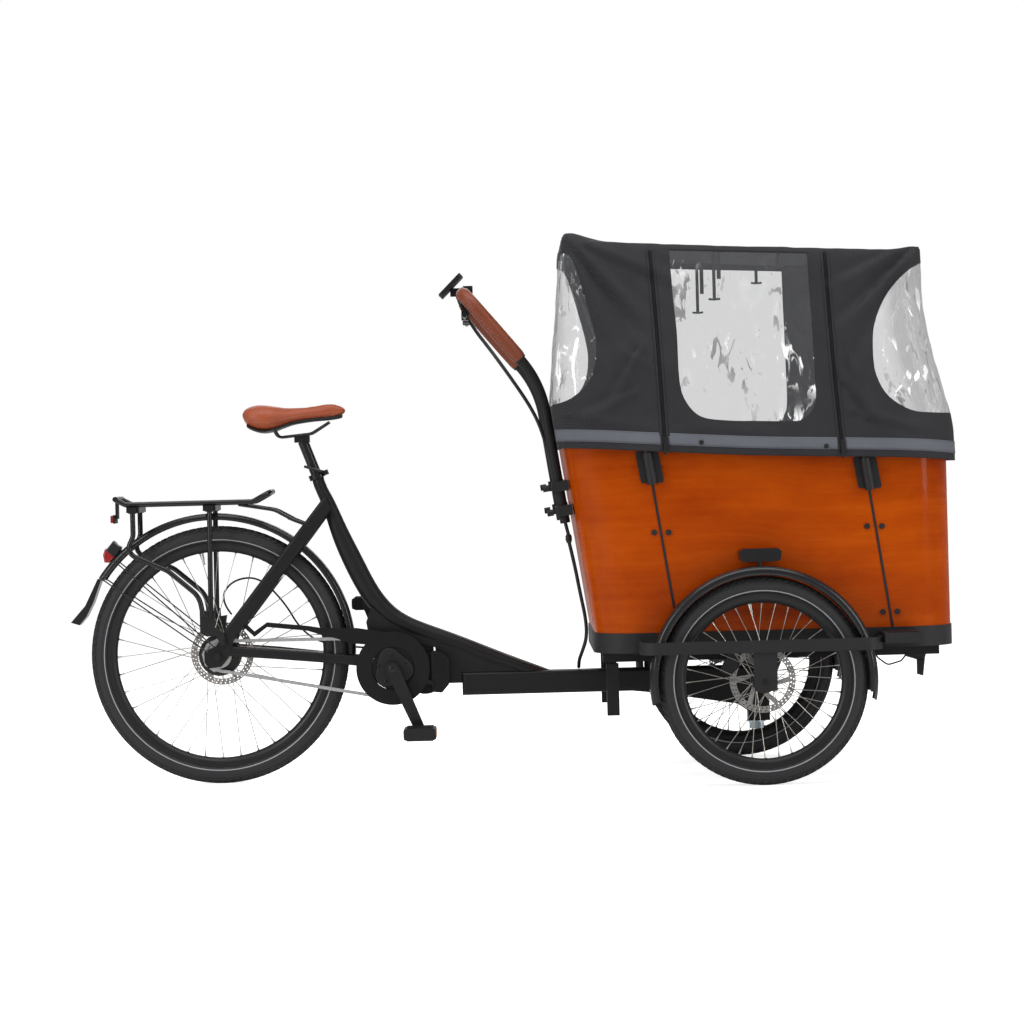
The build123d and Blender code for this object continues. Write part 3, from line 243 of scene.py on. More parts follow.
# veneer under lacquer: long fibres, blotches where the stain took, small pores
def makeVeneer():
    tree, given, out = makeGroup(
        "veneer",
        [("Pale", "NodeSocketColor", (0.58, 0.16, 0.01, 1)), ("Deep", "NodeSocketColor", (0.3, 0.05, 0.0, 1)),
         ("Fibre Scale", "NodeSocketFloat", 26.0), ("Blotch Scale", "NodeSocketFloat", 4.5)],
        [("Colour", "NodeSocketColor"), ("Roughness", "NodeSocketFloat"), ("Height", "NodeSocketFloat")])
    place = addNode(tree, "ShaderNodeTexCoord").outputs["Object"]
    along = stretched(tree, place, (0.09, 0.09, 1.0))
    wander = addNoise(tree, place, 2.2, 2.0)
    bent = addNode(tree, "ShaderNodeVectorMath", {0: along}, operation="ADD")
    shift = addNode(tree, "ShaderNodeCombineXYZ", {"Z": addMath(tree, "MULTIPLY", wander, 0.09)})
    tree.links.new(shift.outputs["Vector"], bent.inputs[1])
    fibre = addNoise(tree, bent.outputs["Vector"], given["Fibre Scale"], 6.0, 0.65)
    fine = addNoise(tree, stretched(tree, bent.outputs["Vector"], (0.5, 0.5, 6.0)), given["Fibre Scale"],
                    4.0, 0.7)
    blotch = addNoise(tree, stretched(tree, place, (0.8, 0.8, 1.3)), given["Blotch Scale"], 5.0, 0.62)
    pore = addRange(tree, addNoise(tree, stretched(tree, place, (0.25, 0.25, 1.0)), 620.0, 2.0), 0.62, 0.72)
    body = addMath(tree, "MULTIPLY", addRange(tree, blotch, 0.3, 0.72), 0.62)
    grain = addMath(tree, "MULTIPLY", addRange(tree, fibre, 0.35, 0.65), 0.28)
    thread = addMath(tree, "MULTIPLY", addRange(tree, fine, 0.35, 0.65), 0.12)
    depth = addMath(tree, "ADD", addMath(tree, "ADD", body, grain), thread, True)
    tone = addMix(tree, depth, given["Deep"], given["Pale"])
    tree.links.new(addMix(tree, addMath(tree, "MULTIPLY", pore, 0.3), tone, (0.12, 0.02, 0.0)), out["Colour"])
    tree.links.new(addRange(tree, fibre, 0.3, 0.7, 0.2, 0.3), out["Roughness"])
    tree.links.new(addMath(tree, "SUBTRACT", fibre, pore), out["Height"])
    return tree


# hide with small cells, creases and rubbed places; painted shade darkens the grooves between the cells
def makeHide():
    tree, given, out = makeGroup(
        "hide",
        [("Colour", "NodeSocketColor", (0.42, 0.12, 0.05, 1)),
         ("Rubbed", "NodeSocketColor", (0.55, 0.2, 0.1, 1)),
         ("Cell Scale", "NodeSocketFloat", 620.0), ("Rub Scale", "NodeSocketFloat", 14.0)],
        [("Colour", "NodeSocketColor"), ("Roughness", "NodeSocketFloat"), ("Height", "NodeSocketFloat")])
    place = addNode(tree, "ShaderNodeTexCoord").outputs["Object"]
    cells = addNode(tree, "ShaderNodeTexVoronoi", {"Vector": place, "Scale": given["Cell Scale"]},
                    feature="DISTANCE_TO_EDGE").outputs["Distance"]
    ridge = addRange(tree, cells, 0.0, 0.22)
    rub = addNoise(tree, place, given["Rub Scale"], 4.0, 0.6)
    fine = addNoise(tree, place, 1400.0, 2.0)
    tone = addMix(tree, addRange(tree, rub, 0.35, 0.75, 0.0, 0.6), given["Colour"], given["Rubbed"])
    # painted shade: the colour goes dark towards the cell edges, where the bump makes grooves
    grooveShade = addMath(tree, "MULTIPLY", addRange(tree, cells, 0.1, 0.0), 0.3)
    tree.links.new(addMix(tree, grooveShade, tone, (0.12, 0.03, 0.012)), out["Colour"])
    tree.links.new(addRange(tree, rub, 0.3, 0.7, 0.52, 0.36), out["Roughness"])
    tree.links.new(addMath(tree, "ADD", ridge, addMath(tree, "MULTIPLY", fine, 0.3)), out["Height"])
    return tree


# plain weave of two crossing threads, with slubs, and painted soft shade in random cloudy patches that stands
# in for shading in the folds
def makeWeave():
    tree, given, out = makeGroup(
        "weave",
        [("Colour", "NodeSocketColor", (0.04, 0.04, 0.043, 1)),
         ("Light", "NodeSocketColor", (0.075, 0.075, 0.08, 1)),
         ("Thread Scale", "NodeSocketFloat", 900.0), ("Slub Scale", "NodeSocketFloat", 55.0)],
        [("Colour", "NodeSocketColor"), ("Roughness", "NodeSocketFloat"), ("Height", "NodeSocketFloat")])
    place = addNode(tree, "ShaderNodeTexCoord").outputs["Object"]
    axes = addNode(tree, "ShaderNodeSeparateXYZ", {"Vector": place})
    across = addMath(tree, "ADD", axes.outputs["X"], axes.outputs["Y"])
    warp = addMath(tree, "SINE", addMath(tree, "MULTIPLY", across, given["Thread Scale"]))
    weft = addMath(tree, "SINE", addMath(tree, "MULTIPLY", axes.outputs["Z"], given["Thread Scale"]))
    knots = addMath(tree, "MULTIPLY", warp, weft)
    slub = addNoise(tree, stretched(tree, place, (1.0, 1.0, 0.25)), given["Slub Scale"], 5.0, 0.65)
    # painted soft shade: random cloudy patches lighten the colour, standing in for shading in the folds
    cloud = addNoise(tree, place, 6.0, 3.0)
    light = addMath(tree, "MULTIPLY", addMath(tree, "ADD", addRange(tree, slub, 0.3, 0.8), knots), 0.28)
    blend = addMath(tree, "ADD", light, addRange(tree, cloud, 0.3, 0.75, 0.0, 0.35), True)
    tree.links.new(addMix(tree, blend, given["Colour"], given["Light"]), out["Colour"])
    tree.links.new(addRange(tree, slub, 0.3, 0.7, 0.72, 0.86), out["Roughness"])
    tree.links.new(addMath(tree, "ADD", knots, addMath(tree, "MULTIPLY", slub, 1.6)), out["Height"])
    return tree


coating, veneer, hide, weave = makeCoating(), makeVeneer(), makeHide(), makeWeave()


# a material whose colour, roughness and relief come from one of the groups
def finish(name, group, given, relief=0.1, depth=0.0005, **fixed):
    material = bpy.data.materials.new(name)
    material.use_nodes = True
    tree = material.node_tree
    shader = tree.nodes["Principled BSDF"]
    source = addNode(tree, "ShaderNodeGroup", node_tree=group)
    for label, value in given.items():
        source.inputs[label].default_value = (*value, 1) if isinstance(value, tuple) else value
    tree.links.new(source.outputs["Colour"], shader.inputs["Base Color"])
    tree.links.new(source.outputs["Roughness"], shader.inputs["Roughness"])
    bump = addNode(tree, "ShaderNodeBump", {"Height": source.outputs["Height"]}, _Strength=relief,
                   _Distance=depth)
    tree.links.new(bump.outputs["Normal"], shader.inputs["Normal"])
    for label, value in fixed.items():
        shader.inputs[label.replace("_", " ")].default_value = value
    return material


def coated(name, colour, worn, smooth, rough, relief=0.08, dust=0.1, peel=700.0, **fixed):
    return finish(name, coating, {"Colour": colour, "Worn Colour": worn, "Smooth": smooth, "Rough": rough,
                                  "Dust": dust, "Peel Scale": peel}, relief, **fixed)


framePaint = coated("framePaint", (0.0075, 0.0073, 0.008), (0.013, 0.0127, 0.014), 0.42, 0.52, 0.14, 0.05,
                    Specular_IOR_Level=0.26)
trayPaint = coated("trayPaint", (0.0135, 0.0132, 0.0145), (0.022, 0.0215, 0.0235), 0.44, 0.58, 0.2, 0.06,
                   Specular_IOR_Level=0.3)
glossPaint = coated("glossPaint", (0.008, 0.008, 0.009), (0.013, 0.013, 0.014), 0.16, 0.28, 0.04, 0.03,
                    Specular_IOR_Level=0.42)
motorCast = coated("motorCast", (0.006, 0.006, 0.0065), (0.011, 0.011, 0.012), 0.44, 0.6, 0.5, 0.05, 1100.0,
                   Specular_IOR_Level=0.2)
guardPlastic = coated("guardPlastic", (0.0055, 0.0055, 0.006), (0.01, 0.01, 0.011), 0.3, 0.44, 0.2, 0.04,
                      Specular_IOR_Level=0.22)
blackPlastic = coated("blackPlastic", (0.009, 0.009, 0.0095), (0.016, 0.016, 0.017), 0.38, 0.56, 0.3, 0.06,
                      Specular_IOR_Level=0.3)
crankAlloy = coated("crankAlloy", (0.02, 0.02, 0.021), (0.04, 0.04, 0.043), 0.28, 0.42, 0.08, 0.05,
                    Metallic=0.7)
rimAnodised = coated("rimAnodised", (0.009, 0.009, 0.01), (0.015, 0.015, 0.016), 0.3, 0.42, 0.06, 0.05,
                     Specular_IOR_Level=0.35)
hubAnodised = coated("hubAnodised", (0.02, 0.02, 0.021), (0.04, 0.04, 0.042), 0.26, 0.4, 0.06, Metallic=0.6)
brightSteel = coated("brightSteel", (0.52, 0.51, 0.48), (0.36, 0.35, 0.33), 0.18, 0.34, 0.08, 0.04,
                     Metallic=1.0)
spokeSteel = coated("spokeSteel", (0.36, 0.34, 0.31), (0.26, 0.24, 0.22), 0.24, 0.36, 0.05, 0.02,
                    Metallic=1.0)
zincPlate = coated("zincPlate", (0.42, 0.5, 0.55), (0.3, 0.36, 0.4), 0.28, 0.45, 0.1, 0.05, Metallic=1.0)
chainSteel = coated("chainSteel", (0.5, 0.5, 0.5), (0.28, 0.28, 0.28), 0.25, 0.4, 0.1, 0.02, Metallic=0.85)
rotorSteel = coated("rotorSteel", (0.34, 0.33, 0.32), (0.22, 0.21, 0.2), 0.24, 0.4, 0.15, 0.03, 300.0,
                    Metallic=1.0)
tyreRubber = coated("tyreRubber", (0.019, 0.0187, 0.0205), (0.036, 0.0355, 0.038), 0.55, 0.72, 0.5, 0.16,
                    900.0,
                    Specular_IOR_Level=0.35)
treadRubber = coated("treadRubber", (0.018, 0.018, 0.019), (0.034, 0.034, 0.036), 0.66, 0.84, 0.5, 0.2, 900.0,
                     Specular_IOR_Level=0.35)
cableSheath = coated("cableSheath", (0.01, 0.01, 0.011), (0.018, 0.018, 0.02), 0.36, 0.5, 0.2, 0.05,
                     Specular_IOR_Level=0.35)
redLens = coated("redLens", (0.3, 0.004, 0.006), (0.2, 0.003, 0.004), 0.08, 0.14, 0.3, 0.02, 260.0,
                 Coat_Weight=0.6)
orangeLens = coated("orangeLens", (0.75, 0.2, 0.02), (0.6, 0.14, 0.01), 0.08, 0.14, 0.3, 0.02, 260.0,
                    Coat_Weight=0.6)
clearLens = coated("clearLens", (0.62, 0.64, 0.67), (0.4, 0.42, 0.45), 0.05, 0.1, 0.3, 0.02, 200.0,
                   Coat_Weight=1.0)
plywood = finish("lacqueredPlywood", veneer, {"Pale": (0.5, 0.078, 0.0008), "Deep": (0.27, 0.026, 0.0)},
                 0.05, 0.0004,
                 Coat_Weight=0.1, Coat_Roughness=0.05, Specular_IOR_Level=0.04)
benchWood = finish("benchPlywood", veneer, {"Pale": (0.6, 0.4, 0.22), "Deep": (0.42, 0.25, 0.12)}, 0.08,
                   0.0004)
saddleHide = finish("saddleHide", hide, {"Colour": (0.31, 0.062, 0.022), "Rubbed": (0.4, 0.095, 0.036)}, 0.2,
                    0.0003,
                    Specular_IOR_Level=0.35)
gripHide = finish("gripHide", hide, {"Colour": (0.17, 0.036, 0.013), "Rubbed": (0.25, 0.058, 0.024),
                                     "Cell Scale": 760.0}, 0.2, 0.0003, Specular_IOR_Level=0.35)
canopyCloth = finish("canopyCloth", weave,
                     {"Colour": (0.017, 0.0165, 0.019), "Light": (0.038, 0.037, 0.042)}, 0.3, 0.0006,
                     Specular_IOR_Level=0.3)
tapeCloth = finish("tapeCloth", weave, {"Colour": (0.006, 0.006, 0.0065), "Light": (0.016, 0.016, 0.017),
                                        "Thread Scale": 1600.0}, 0.4, 0.0004, Specular_IOR_Level=0.3)
reflectTape = finish("reflectTape", weave, {"Colour": (0.095, 0.1, 0.12), "Light": (0.16, 0.167, 0.195),
                                            "Thread Scale": 2200.0}, 0.2, 0.0003, Specular_IOR_Level=0.4)
threadDark = finish("threadDark", weave, {"Colour": (0.03, 0.03, 0.032), "Light": (0.06, 0.06, 0.064)}, 0.3,
                    0.0002)
threadTan = finish("threadTan", weave, {"Colour": (0.4, 0.17, 0.09), "Light": (0.5, 0.24, 0.14)}, 0.3, 0.0002)
stripeGlow = coated("stripeReflective", (0.32, 0.33, 0.34), (0.22, 0.23, 0.24), 0.4, 0.5, 0.1, 0.05)


# clear window film: see-through, with painted highlights: white glint streaks along its creases are painted
# into its colour and opacity
def makeFilm():
    material = bpy.data.materials.new("windowFilm")
    material.use_nodes = True
    tree = material.node_tree
    shader = tree.nodes["Principled BSDF"]
    place = addNode(tree, "ShaderNodeTexCoord").outputs["Object"]
    paintedGlintStreaks = addNoise(tree, stretched(tree, place, (1.0, 0.6, 0.42)), 26.0, 3.0, 0.55, 1.6)
    where = addNoise(tree, place, 5.0, 2.0)
    # painted highlight: where the streak mask is on, the colour turns white and the film opaque, standing in
    # for reflections on the creases
    paintedGlint = addMath(tree, "MULTIPLY", addRange(tree, paintedGlintStreaks, 0.57, 0.62), addRange(tree, where, 0.42, 0.58),
                    True)
    rim = addNode(tree, "ShaderNodeLayerWeight", _Blend=0.35).outputs["Facing"]
    body = addRange(tree, rim, 0.12, 1.0, 0.24, 0.66)
    tree.links.new(addMath(tree, "MAXIMUM", body, addMath(tree, "MULTIPLY", paintedGlint, 0.9)),
                   shader.inputs["Alpha"])
    tree.links.new(addMix(tree, paintedGlint, (0.24, 0.245, 0.26), (1.0, 1.0, 1.0)), shader.inputs["Base Color"])
    shader.inputs["Roughness"].default_value = 0.07
    folds = addNoise(tree, stretched(tree, place, (1.0, 1.0, 0.35)), 18.0, 3.0, 0.6, 0.8)
    bump = addNode(tree, "ShaderNodeBump", {"Height": folds}, _Strength=0.5, _Distance=0.01)
    tree.links.new(bump.outputs["Normal"], shader.inputs["Normal"])
    return material


windowFilm = makeFilm()

nodeFinish = {
    framePaint: "frame_spine main_tube motor_bracket seat_stays chain_stays carriage_frame handlebar",
    trayPaint: "box_tray box_fittings pole_sockets wheel_guards bar_clamps",
    glossPaint: "rack rear_fender front_fenders seat_clamp seat_clamp_lever seatpost canopy_poles"
                " lever_mounts brake_lever_left brake_lever_right",
    motorCast: "motor_housing", guardPlastic: "chain_guard",
    blackPlastic: "rear_caliper pedal_left pedal_right front_calipers headlight display twist_shifter",
    crankAlloy: "crank_arms chainring", rimAnodised: "rear_rim front_rim_left front_rim_right",
    hubAnodised: "rear_hub front_hub_left front_hub_right rear_axle", zincPlate: "kingpin",
    brightSteel: "rear_sprocket", chainSteel: "chain", redLens: "rear_lights",
    tyreRubber: "rear_tyre front_tyre_left front_tyre_right",
              cableSheath: "upper_loom lower_loom rear_brake_hose",
    plywood: "box_panel_rear box_panel_front box_sides", benchWood: "bench box_floor",
    saddleHide: "saddle", gripHide: "grips", canopyCloth: "canopy_roof canopy_sides canopy_ends",
}
for material, names in nodeFinish.items():
    for nodeName in names.split():
        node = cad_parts[nodeName]
        node.data.materials.clear()
        node.data.materials.append(material)
print("finishes made")


# mesh helpers
def meshPiece(name, vertices, faces, material=None, smoothAngle=40.0):
    mesh = bpy.data.meshes.new(name)
    mesh.from_pydata([tuple(v) for v in vertices], [], faces)
    shape = bmesh.new()
    shape.from_mesh(mesh)
    bmesh.ops.remove_doubles(shape, verts=shape.verts, dist=1e-6)
    bmesh.ops.recalc_face_normals(shape, faces=shape.faces)
    shape.to_mesh(mesh)
    shape.free()
    return fromMesh(name, mesh, material, smoothAngle)


def fromMesh(name, mesh, material=None, smoothAngle=40.0):
    mesh.name = name
    if material:
        mesh.materials.clear()
        mesh.materials.append(material)
    mesh.shade_smooth()
    mesh.set_sharp_from_angle(angle=radians(smoothAngle))
    return addObject(name, mesh)


def joinMeshes(name, pieces):
    shape = bmesh.new()
    materials = []
    for piece in pieces:
        mesh = piece.data
        first = len(materials)
        materials += list(mesh.materials)
        start = len(shape.faces)
        shape.from_mesh(mesh)
        shape.faces.ensure_lookup_table()
        for face in shape.faces[start:]:
            face.material_index += first
    mesh = bpy.data.meshes.new(name)
    shape.to_mesh(mesh)
    shape.free()
    for material in materials:
        mesh.materials.append(material)
    for piece in pieces:
        bpy.data.objects.remove(piece)
    return addObject(name, mesh)


# applies whatever modifiers an object has and leaves one plain mesh
def settle(piece):
    bpy.context.view_layer.update()
    evaluated = piece.evaluated_get(bpy.context.evaluated_depsgraph_get())
    mesh = bpy.data.meshes.new_from_object(evaluated)
    name = piece.name
    bpy.data.objects.remove(piece)
    made = addObject(name, mesh)
    mesh.name = name
    return made


# quads between rings of count points that follow each other
def ringFaces(bands, count):
    faces = []
    for ring in range(bands):
        for k in range(count):
            a, b = ring * count + k, ring * count + (k + 1) % count
            faces.append((a, b, b + count, a + count))
    return faces


def moved(piece, place):
    piece.data.transform(Matrix.Translation(place))
    return piece


def put(piece, body, slotName, *standsFor):
    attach(piece, body)
    if standsFor:
        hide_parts(*standsFor)
    return piece


# profile of (radius, y) turned about the wheel axis; a closed profile makes a ring
def turned(name, profile, segments, material, centre=(0, 0, 0), closed=True, smoothAngle=40.0):
    count = len(profile)
    vertices, faces = [], []
    for step in range(segments):
        angle = fullTurn * step / segments
        vertices += [(radius * cos(angle), y, radius * sin(angle)) for radius, y in profile]
    for step in range(segments):
        here, there = step * count, (step + 1) % segments * count
        for k in range(count if closed else count - 1):
            after = (k + 1) % count
            faces.append((here + k, here + after, there + after, there + k))
    if not closed:
        for k in (0, count - 1):
            if profile[k][0] > 1e-6:
                faces.append([step * count + k for step in range(segments)])
    piece = meshPiece(name, vertices, faces, material, smoothAngle)
    return moved(piece, Vector(centre))


# a box from its low and high corners with small bevelled edges
def boxPiece(name, low, high, material, bevel=0.001, segments=2):
    mesh = bpy.data.meshes.new(name)
    shape = bmesh.new()
    bmesh.ops.create_cube(shape, size=1.0)
    for vertex in shape.verts:
        vertex.co = Vector([lo + (hi - lo) * (c + 0.5) for c, lo, hi in zip(vertex.co, low, high)])
    if bevel:
        bmesh.ops.bevel(shape, geom=shape.edges[:], offset=bevel, segments=segments, affect="EDGES",
                        profile=0.6)
    shape.to_mesh(mesh)
    shape.free()
    return fromMesh(name, mesh, material)


# a flat plate from outlines in (x, z): the first is the rim, others are holes
def platePiece(name, outlines, yLow, yHigh, material, bevel=0.0, centre=(0, 0, 0)):
    curve = bpy.data.curves.new(name, "CURVE")
    curve.dimensions, curve.fill_mode = "2D", "BOTH"
    curve.extrude = (yHigh - yLow) / 2 - bevel
    curve.bevel_depth, curve.bevel_resolution, curve.offset = bevel, 2 if bevel else 0, -bevel
    for outline in outlines:
        spline = curve.splines.new("POLY")
        spline.points.add(len(outline) - 1)
        for point, (x, z) in zip(spline.points, outline):
            point.co = (x, z, 0, 1)
        spline.use_cyclic_u = True
    piece = settle(addObject(name, curve))
    mesh = piece.data
    # the drawing lies in XY; stand it up so that its normal is Y
    mesh.transform(Matrix(((1, 0, 0, 0), (0, 0, -1, 0), (0, 1, 0, 0), (0, 0, 0, 1))))
    mesh.transform(Matrix.Translation(Vector(centre) + Vector((0, (yLow + yHigh) / 2, 0))))
    mesh.materials.clear()
    mesh.materials.append(material)
    mesh.shade_smooth()
    mesh.set_sharp_from_angle(angle=radians(35))
    return piece


def circleOutline(x, z, radius, count=32):
    return [(x + radius * cos(fullTurn * k / count),
             z + radius * sin(fullTurn * k / count)) for k in range(count)]


# a curve through points, smooth or straight between them, with a round section if it has a radius
def drawLine(name, kind, points, radius=0.0, resolution=4, taper=None, density=12, closed=False):
    curve = bpy.data.curves.new(name, "CURVE")
    curve.dimensions, curve.use_fill_caps = "3D", radius > 0
    curve.bevel_depth, curve.bevel_resolution, curve.resolution_u = radius, resolution, density
    spline = curve.splines.new(kind)
    spline.points.add(len(points) - 1)
    for k, (point, place) in enumerate(zip(spline.points, points)):
        point.co = (*place, 1)
        point.radius = taper[k] if taper else 1.0
    if kind == "NURBS":
        spline.order_u = min(3, len(points))
        spline.use_endpoint_u = True
    spline.use_cyclic_u = closed
    return addObject(name, curve)


def tubePiece(name, points, radius, material, resolution=6, taper=None, density=10):
    return fromMeshObject(settle(drawLine(name, "NURBS", points, radius, resolution, taper, density)),
                          material)


def polyTube(name, route, radius, material, taper=None, resolution=6):
    return fromMeshObject(settle(drawLine(name, "POLY", route, radius, resolution, taper)), material)


def fromMeshObject(piece, material, smoothAngle=50.0):
    piece.data.materials.clear()
    piece.data.materials.append(material)
    piece.data.shade_smooth()
    piece.data.set_sharp_from_angle(angle=radians(smoothAngle))
    return piece


# node trees for what repeats
def makeTree(name, inputs):
    tree = bpy.data.node_groups.new(name, "GeometryNodeTree")
    tree.is_modifier = True
    tree.interface.new_socket("Geometry", in_out="INPUT", socket_type="NodeSocketGeometry")
    tree.interface.new_socket("Geometry", in_out="OUTPUT", socket_type="NodeSocketGeometry")
    for label, kind in inputs:
        tree.interface.new_socket(label, in_out="INPUT", socket_type=kind)
    return tree, tree.nodes.new("NodeGroupInput").outputs, tree.nodes.new("NodeGroupOutput").inputs


def endTree(tree, geometry, material, out):
    real = addNode(tree, "GeometryNodeRealizeInstances", {"Geometry": geometry})
    painted = addNode(tree, "GeometryNodeSetMaterial", {"Geometry": real.outputs[0], "Material": material})
    tree.links.new(painted.outputs[0], out["Geometry"])


# copies of the piece all round an axis along Y, then set at the centre
def makeRingTree():
    tree, given, out = makeTree("ringOfCopies",
                                [("Count", "NodeSocketInt"), ("Start Turn", "NodeSocketFloat"),
                                                 ("Centre", "NodeSocketVector"),
                                                 ("Material", "NodeSocketMaterial")])
    line = addNode(tree, "GeometryNodeMeshLine", {"Count": given["Count"]})
    line.inputs["Offset"].default_value = (0, 0, 0)
    index = addNode(tree, "GeometryNodeInputIndex").outputs[0]
    share = addMath(tree, "DIVIDE", index, given["Count"])
    turn = addMath(tree, "ADD", addMath(tree, "MULTIPLY", share, -fullTurn), given["Start Turn"])
    euler = addNode(tree, "ShaderNodeCombineXYZ", {"Y": turn})
    copies = addNode(tree, "GeometryNodeInstanceOnPoints",
                     {"Points": line.outputs[0], "Instance": given["Geometry"],
                                                            "Rotation": euler.outputs[0]})
    real = addNode(tree, "GeometryNodeRealizeInstances", {"Geometry": copies.outputs[0]})
    shifted = addNode(tree, "GeometryNodeSetPosition",
                      {"Geometry": real.outputs[0], "Offset": given["Centre"]})
    endTree(tree, shifted.outputs[0], given["Material"], out)
    return tree


# copies at even steps along a line, each turned to follow it
def makeTrackTree():
    tree, given, out = makeTree("copiesAlongLine",
                                [("Motif", "NodeSocketObject"), ("Spacing", "NodeSocketFloat"),
                                                    ("Material", "NodeSocketMaterial")])
    even = addNode(tree, "GeometryNodeResampleCurve",
                   {"Curve": given["Geometry"], "Length": given["Spacing"]},
                   mode="LENGTH")
    motif = addNode(tree, "GeometryNodeObjectInfo", {"Object": given["Motif"]})
    tangent = addNode(tree, "GeometryNodeInputTangent").outputs[0]
    lined = addNode(tree, "FunctionNodeAlignRotationToVector", {"Vector": tangent}, axis="X")
    copies = addNode(tree, "GeometryNodeInstanceOnPoints",
                     {"Points": even.outputs[0], "Rotation": lined.outputs[0],
                                                            "Instance": motif.outputs["Geometry"]})
    endTree(tree, copies.outputs[0], given["Material"], out)
    return tree


# copies on points, each with its Z axis along the point's own facing
def makeStudTree():
    tree, given, out = makeTree("copiesOnPoints",
                                [("Motif", "NodeSocketObject"), ("Material", "NodeSocketMaterial")])
    motif = addNode(tree, "GeometryNodeObjectInfo", {"Object": given["Motif"]})
    facing = addNode(tree, "GeometryNodeInputNamedAttribute", data_type="FLOAT_VECTOR", _Name="facing")
    lined = addNode(tree, "FunctionNodeAlignRotationToVector", {"Vector": facing.outputs[0]}, axis="Z")
    copies = addNode(tree, "GeometryNodeInstanceOnPoints",
                     {"Points": given["Geometry"], "Rotation": lined.outputs[0],
                                                            "Instance": motif.outputs["Geometry"]})
    endTree(tree, copies.outputs[0], given["Material"], out)
    return tree


# copies in a straight row
def makeRowTree():
    tree, given, out = makeTree("rowOfCopies", [("Count", "NodeSocketInt"), ("Step", "NodeSocketVector"),
                                                ("Material", "NodeSocketMaterial")])
    line = addNode(tree, "GeometryNodeMeshLine", {"Count": given["Count"], "Offset": given["Step"]})
    copies = addNode(tree, "GeometryNodeInstanceOnPoints",
                     {"Points": line.outputs[0], "Instance": given["Geometry"]})
    endTree(tree, copies.outputs[0], given["Material"], out)
    return tree


ringTree, trackTree, studTree, rowTree = makeRingTree(), makeTrackTree(), makeStudTree(), makeRowTree()


# runs one of the trees on a piece and keeps the result as a plain mesh
def grow(piece, tree, smoothAngle=40.0, **given):
    modifier = piece.modifiers.new("grow", "NODES")
    modifier.node_group = tree
    sockets = {item.name: item.identifier for item in tree.interface.items_tree if item.in_out == "INPUT"}
    for label, value in given.items():
        modifier[sockets[label.replace("_", " ")]] = value
    piece.update_tag()
    made = settle(piece)
    made.data.shade_smooth()
    made.data.set_sharp_from_angle(angle=radians(smoothAngle))
    return made


def ringOf(piece, count, centre, material, turn=0.0, smoothAngle=40.0):
    return grow(piece, ringTree, smoothAngle, Count=count, Start_Turn=turn, Centre=tuple(centre),
                Material=material)


def alongLine(name, points, motif, spacing, material, closed=False):
    line = drawLine(name, "POLY", points, closed=closed)
    return grow(line, trackTree, Motif=motif, Spacing=spacing, Material=material)


def studs(name, places, motif, material):
    mesh = bpy.data.meshes.new(name)
    mesh.from_pydata([tuple(p) for p, _ in places], [], [])
    facing = mesh.attributes.new("facing", "FLOAT_VECTOR", "POINT")
    for k, (_, direction) in enumerate(places):
        facing.data[k].vector = direction
    return grow(addObject(name, mesh), studTree, Motif=motif, Material=material)


# small shapes that get repeated; they are taken away again at the end
motifs = []


def motif(piece):
    motifs.append(piece)
    return piece


# domed screw head with a hexagon socket, standing along Z
def makeScrewHead(name, radius, height):
    vertices = []
    rings = [(radius, 0.0), (radius, height * 0.3), (radius * 0.86, height * 0.72), (radius * 0.5, height)]
    count = 18
    for r, z in rings:
        vertices += [(r * cos(fullTurn * k / count), r * sin(fullTurn * k / count), z) for k in range(count)]
    for z in (height, height * 0.35):
        for k in range(count):
            angle = fullTurn * k / count
            edge = radius * 0.4 / cos((angle + pi / 6) % (pi / 3) - pi / 6)
            vertices.append((edge * cos(angle), edge * sin(angle), z))
    faces = ringFaces(len(rings) + 1, count)
    faces.append([(len(rings) + 1) * count + k for k in range(count)])
    faces.append([count - 1 - k for k in range(count)])
    return motif(meshPiece(name, vertices, faces, None, 30))


smallScrew = makeScrewHead("smallScrewHead", 0.0042, 0.003)


def makeStitch(length, thick):
    profile = [(0.0, -length / 2), (thick, -length * 0.3), (thick, length * 0.3), (0.0, length / 2)]
    piece = turned("stitch", profile, 6, None, closed=False)
    piece.data.transform(Matrix.Rotation(pi / 2, 4, "Z"))
    return motif(piece)


stitch = makeStitch(0.0042, 0.0006)
fineStitch = makeStitch(0.003, 0.00045)
print("helpers and node trees made")


# wheels, in mm
rearSizes = {"tyre": 326.5, "bead": 285.0, "width": 47.0, "rimDepth": 24.0, "spokes": 36,
             "flangeRadius": 47.0,
             "flangeOffset": 26.0, "lead": 30.0, "rotorY": 49.0, "blocks": 108}
frontSizes = {"tyre": 252.4, "bead": 212.0, "width": 47.0, "rimDepth": 24.0, "spokes": 36,
              "flangeRadius": 25.0,
              "flangeOffset": 23.0, "lead": 42.0, "rotorY": 27.5, "blocks": 84}


# round section of the casing from one bead over the crown to the other, in metres
def casingProfile(sizes, proud=0.0):
    half = sizes["width"] / 2000
    crown = (sizes["tyre"] - 2.0) / 1000
    middle = crown - half
    outline = []
    for step in range(-11, 12):
        angle = step / 11 * 2.32
        outline.append((middle + (half + proud) * cos(angle), (half + proud) * sin(angle)))
    bead = sizes["bead"] / 1000
    return [(bead, -0.0125)] + [p for p in outline if p[0] > bead + 0.0015] + [(bead, 0.0125),
                                                                               (bead - 0.004, 0.009),
                                                                              (bead - 0.004, -0.009)]


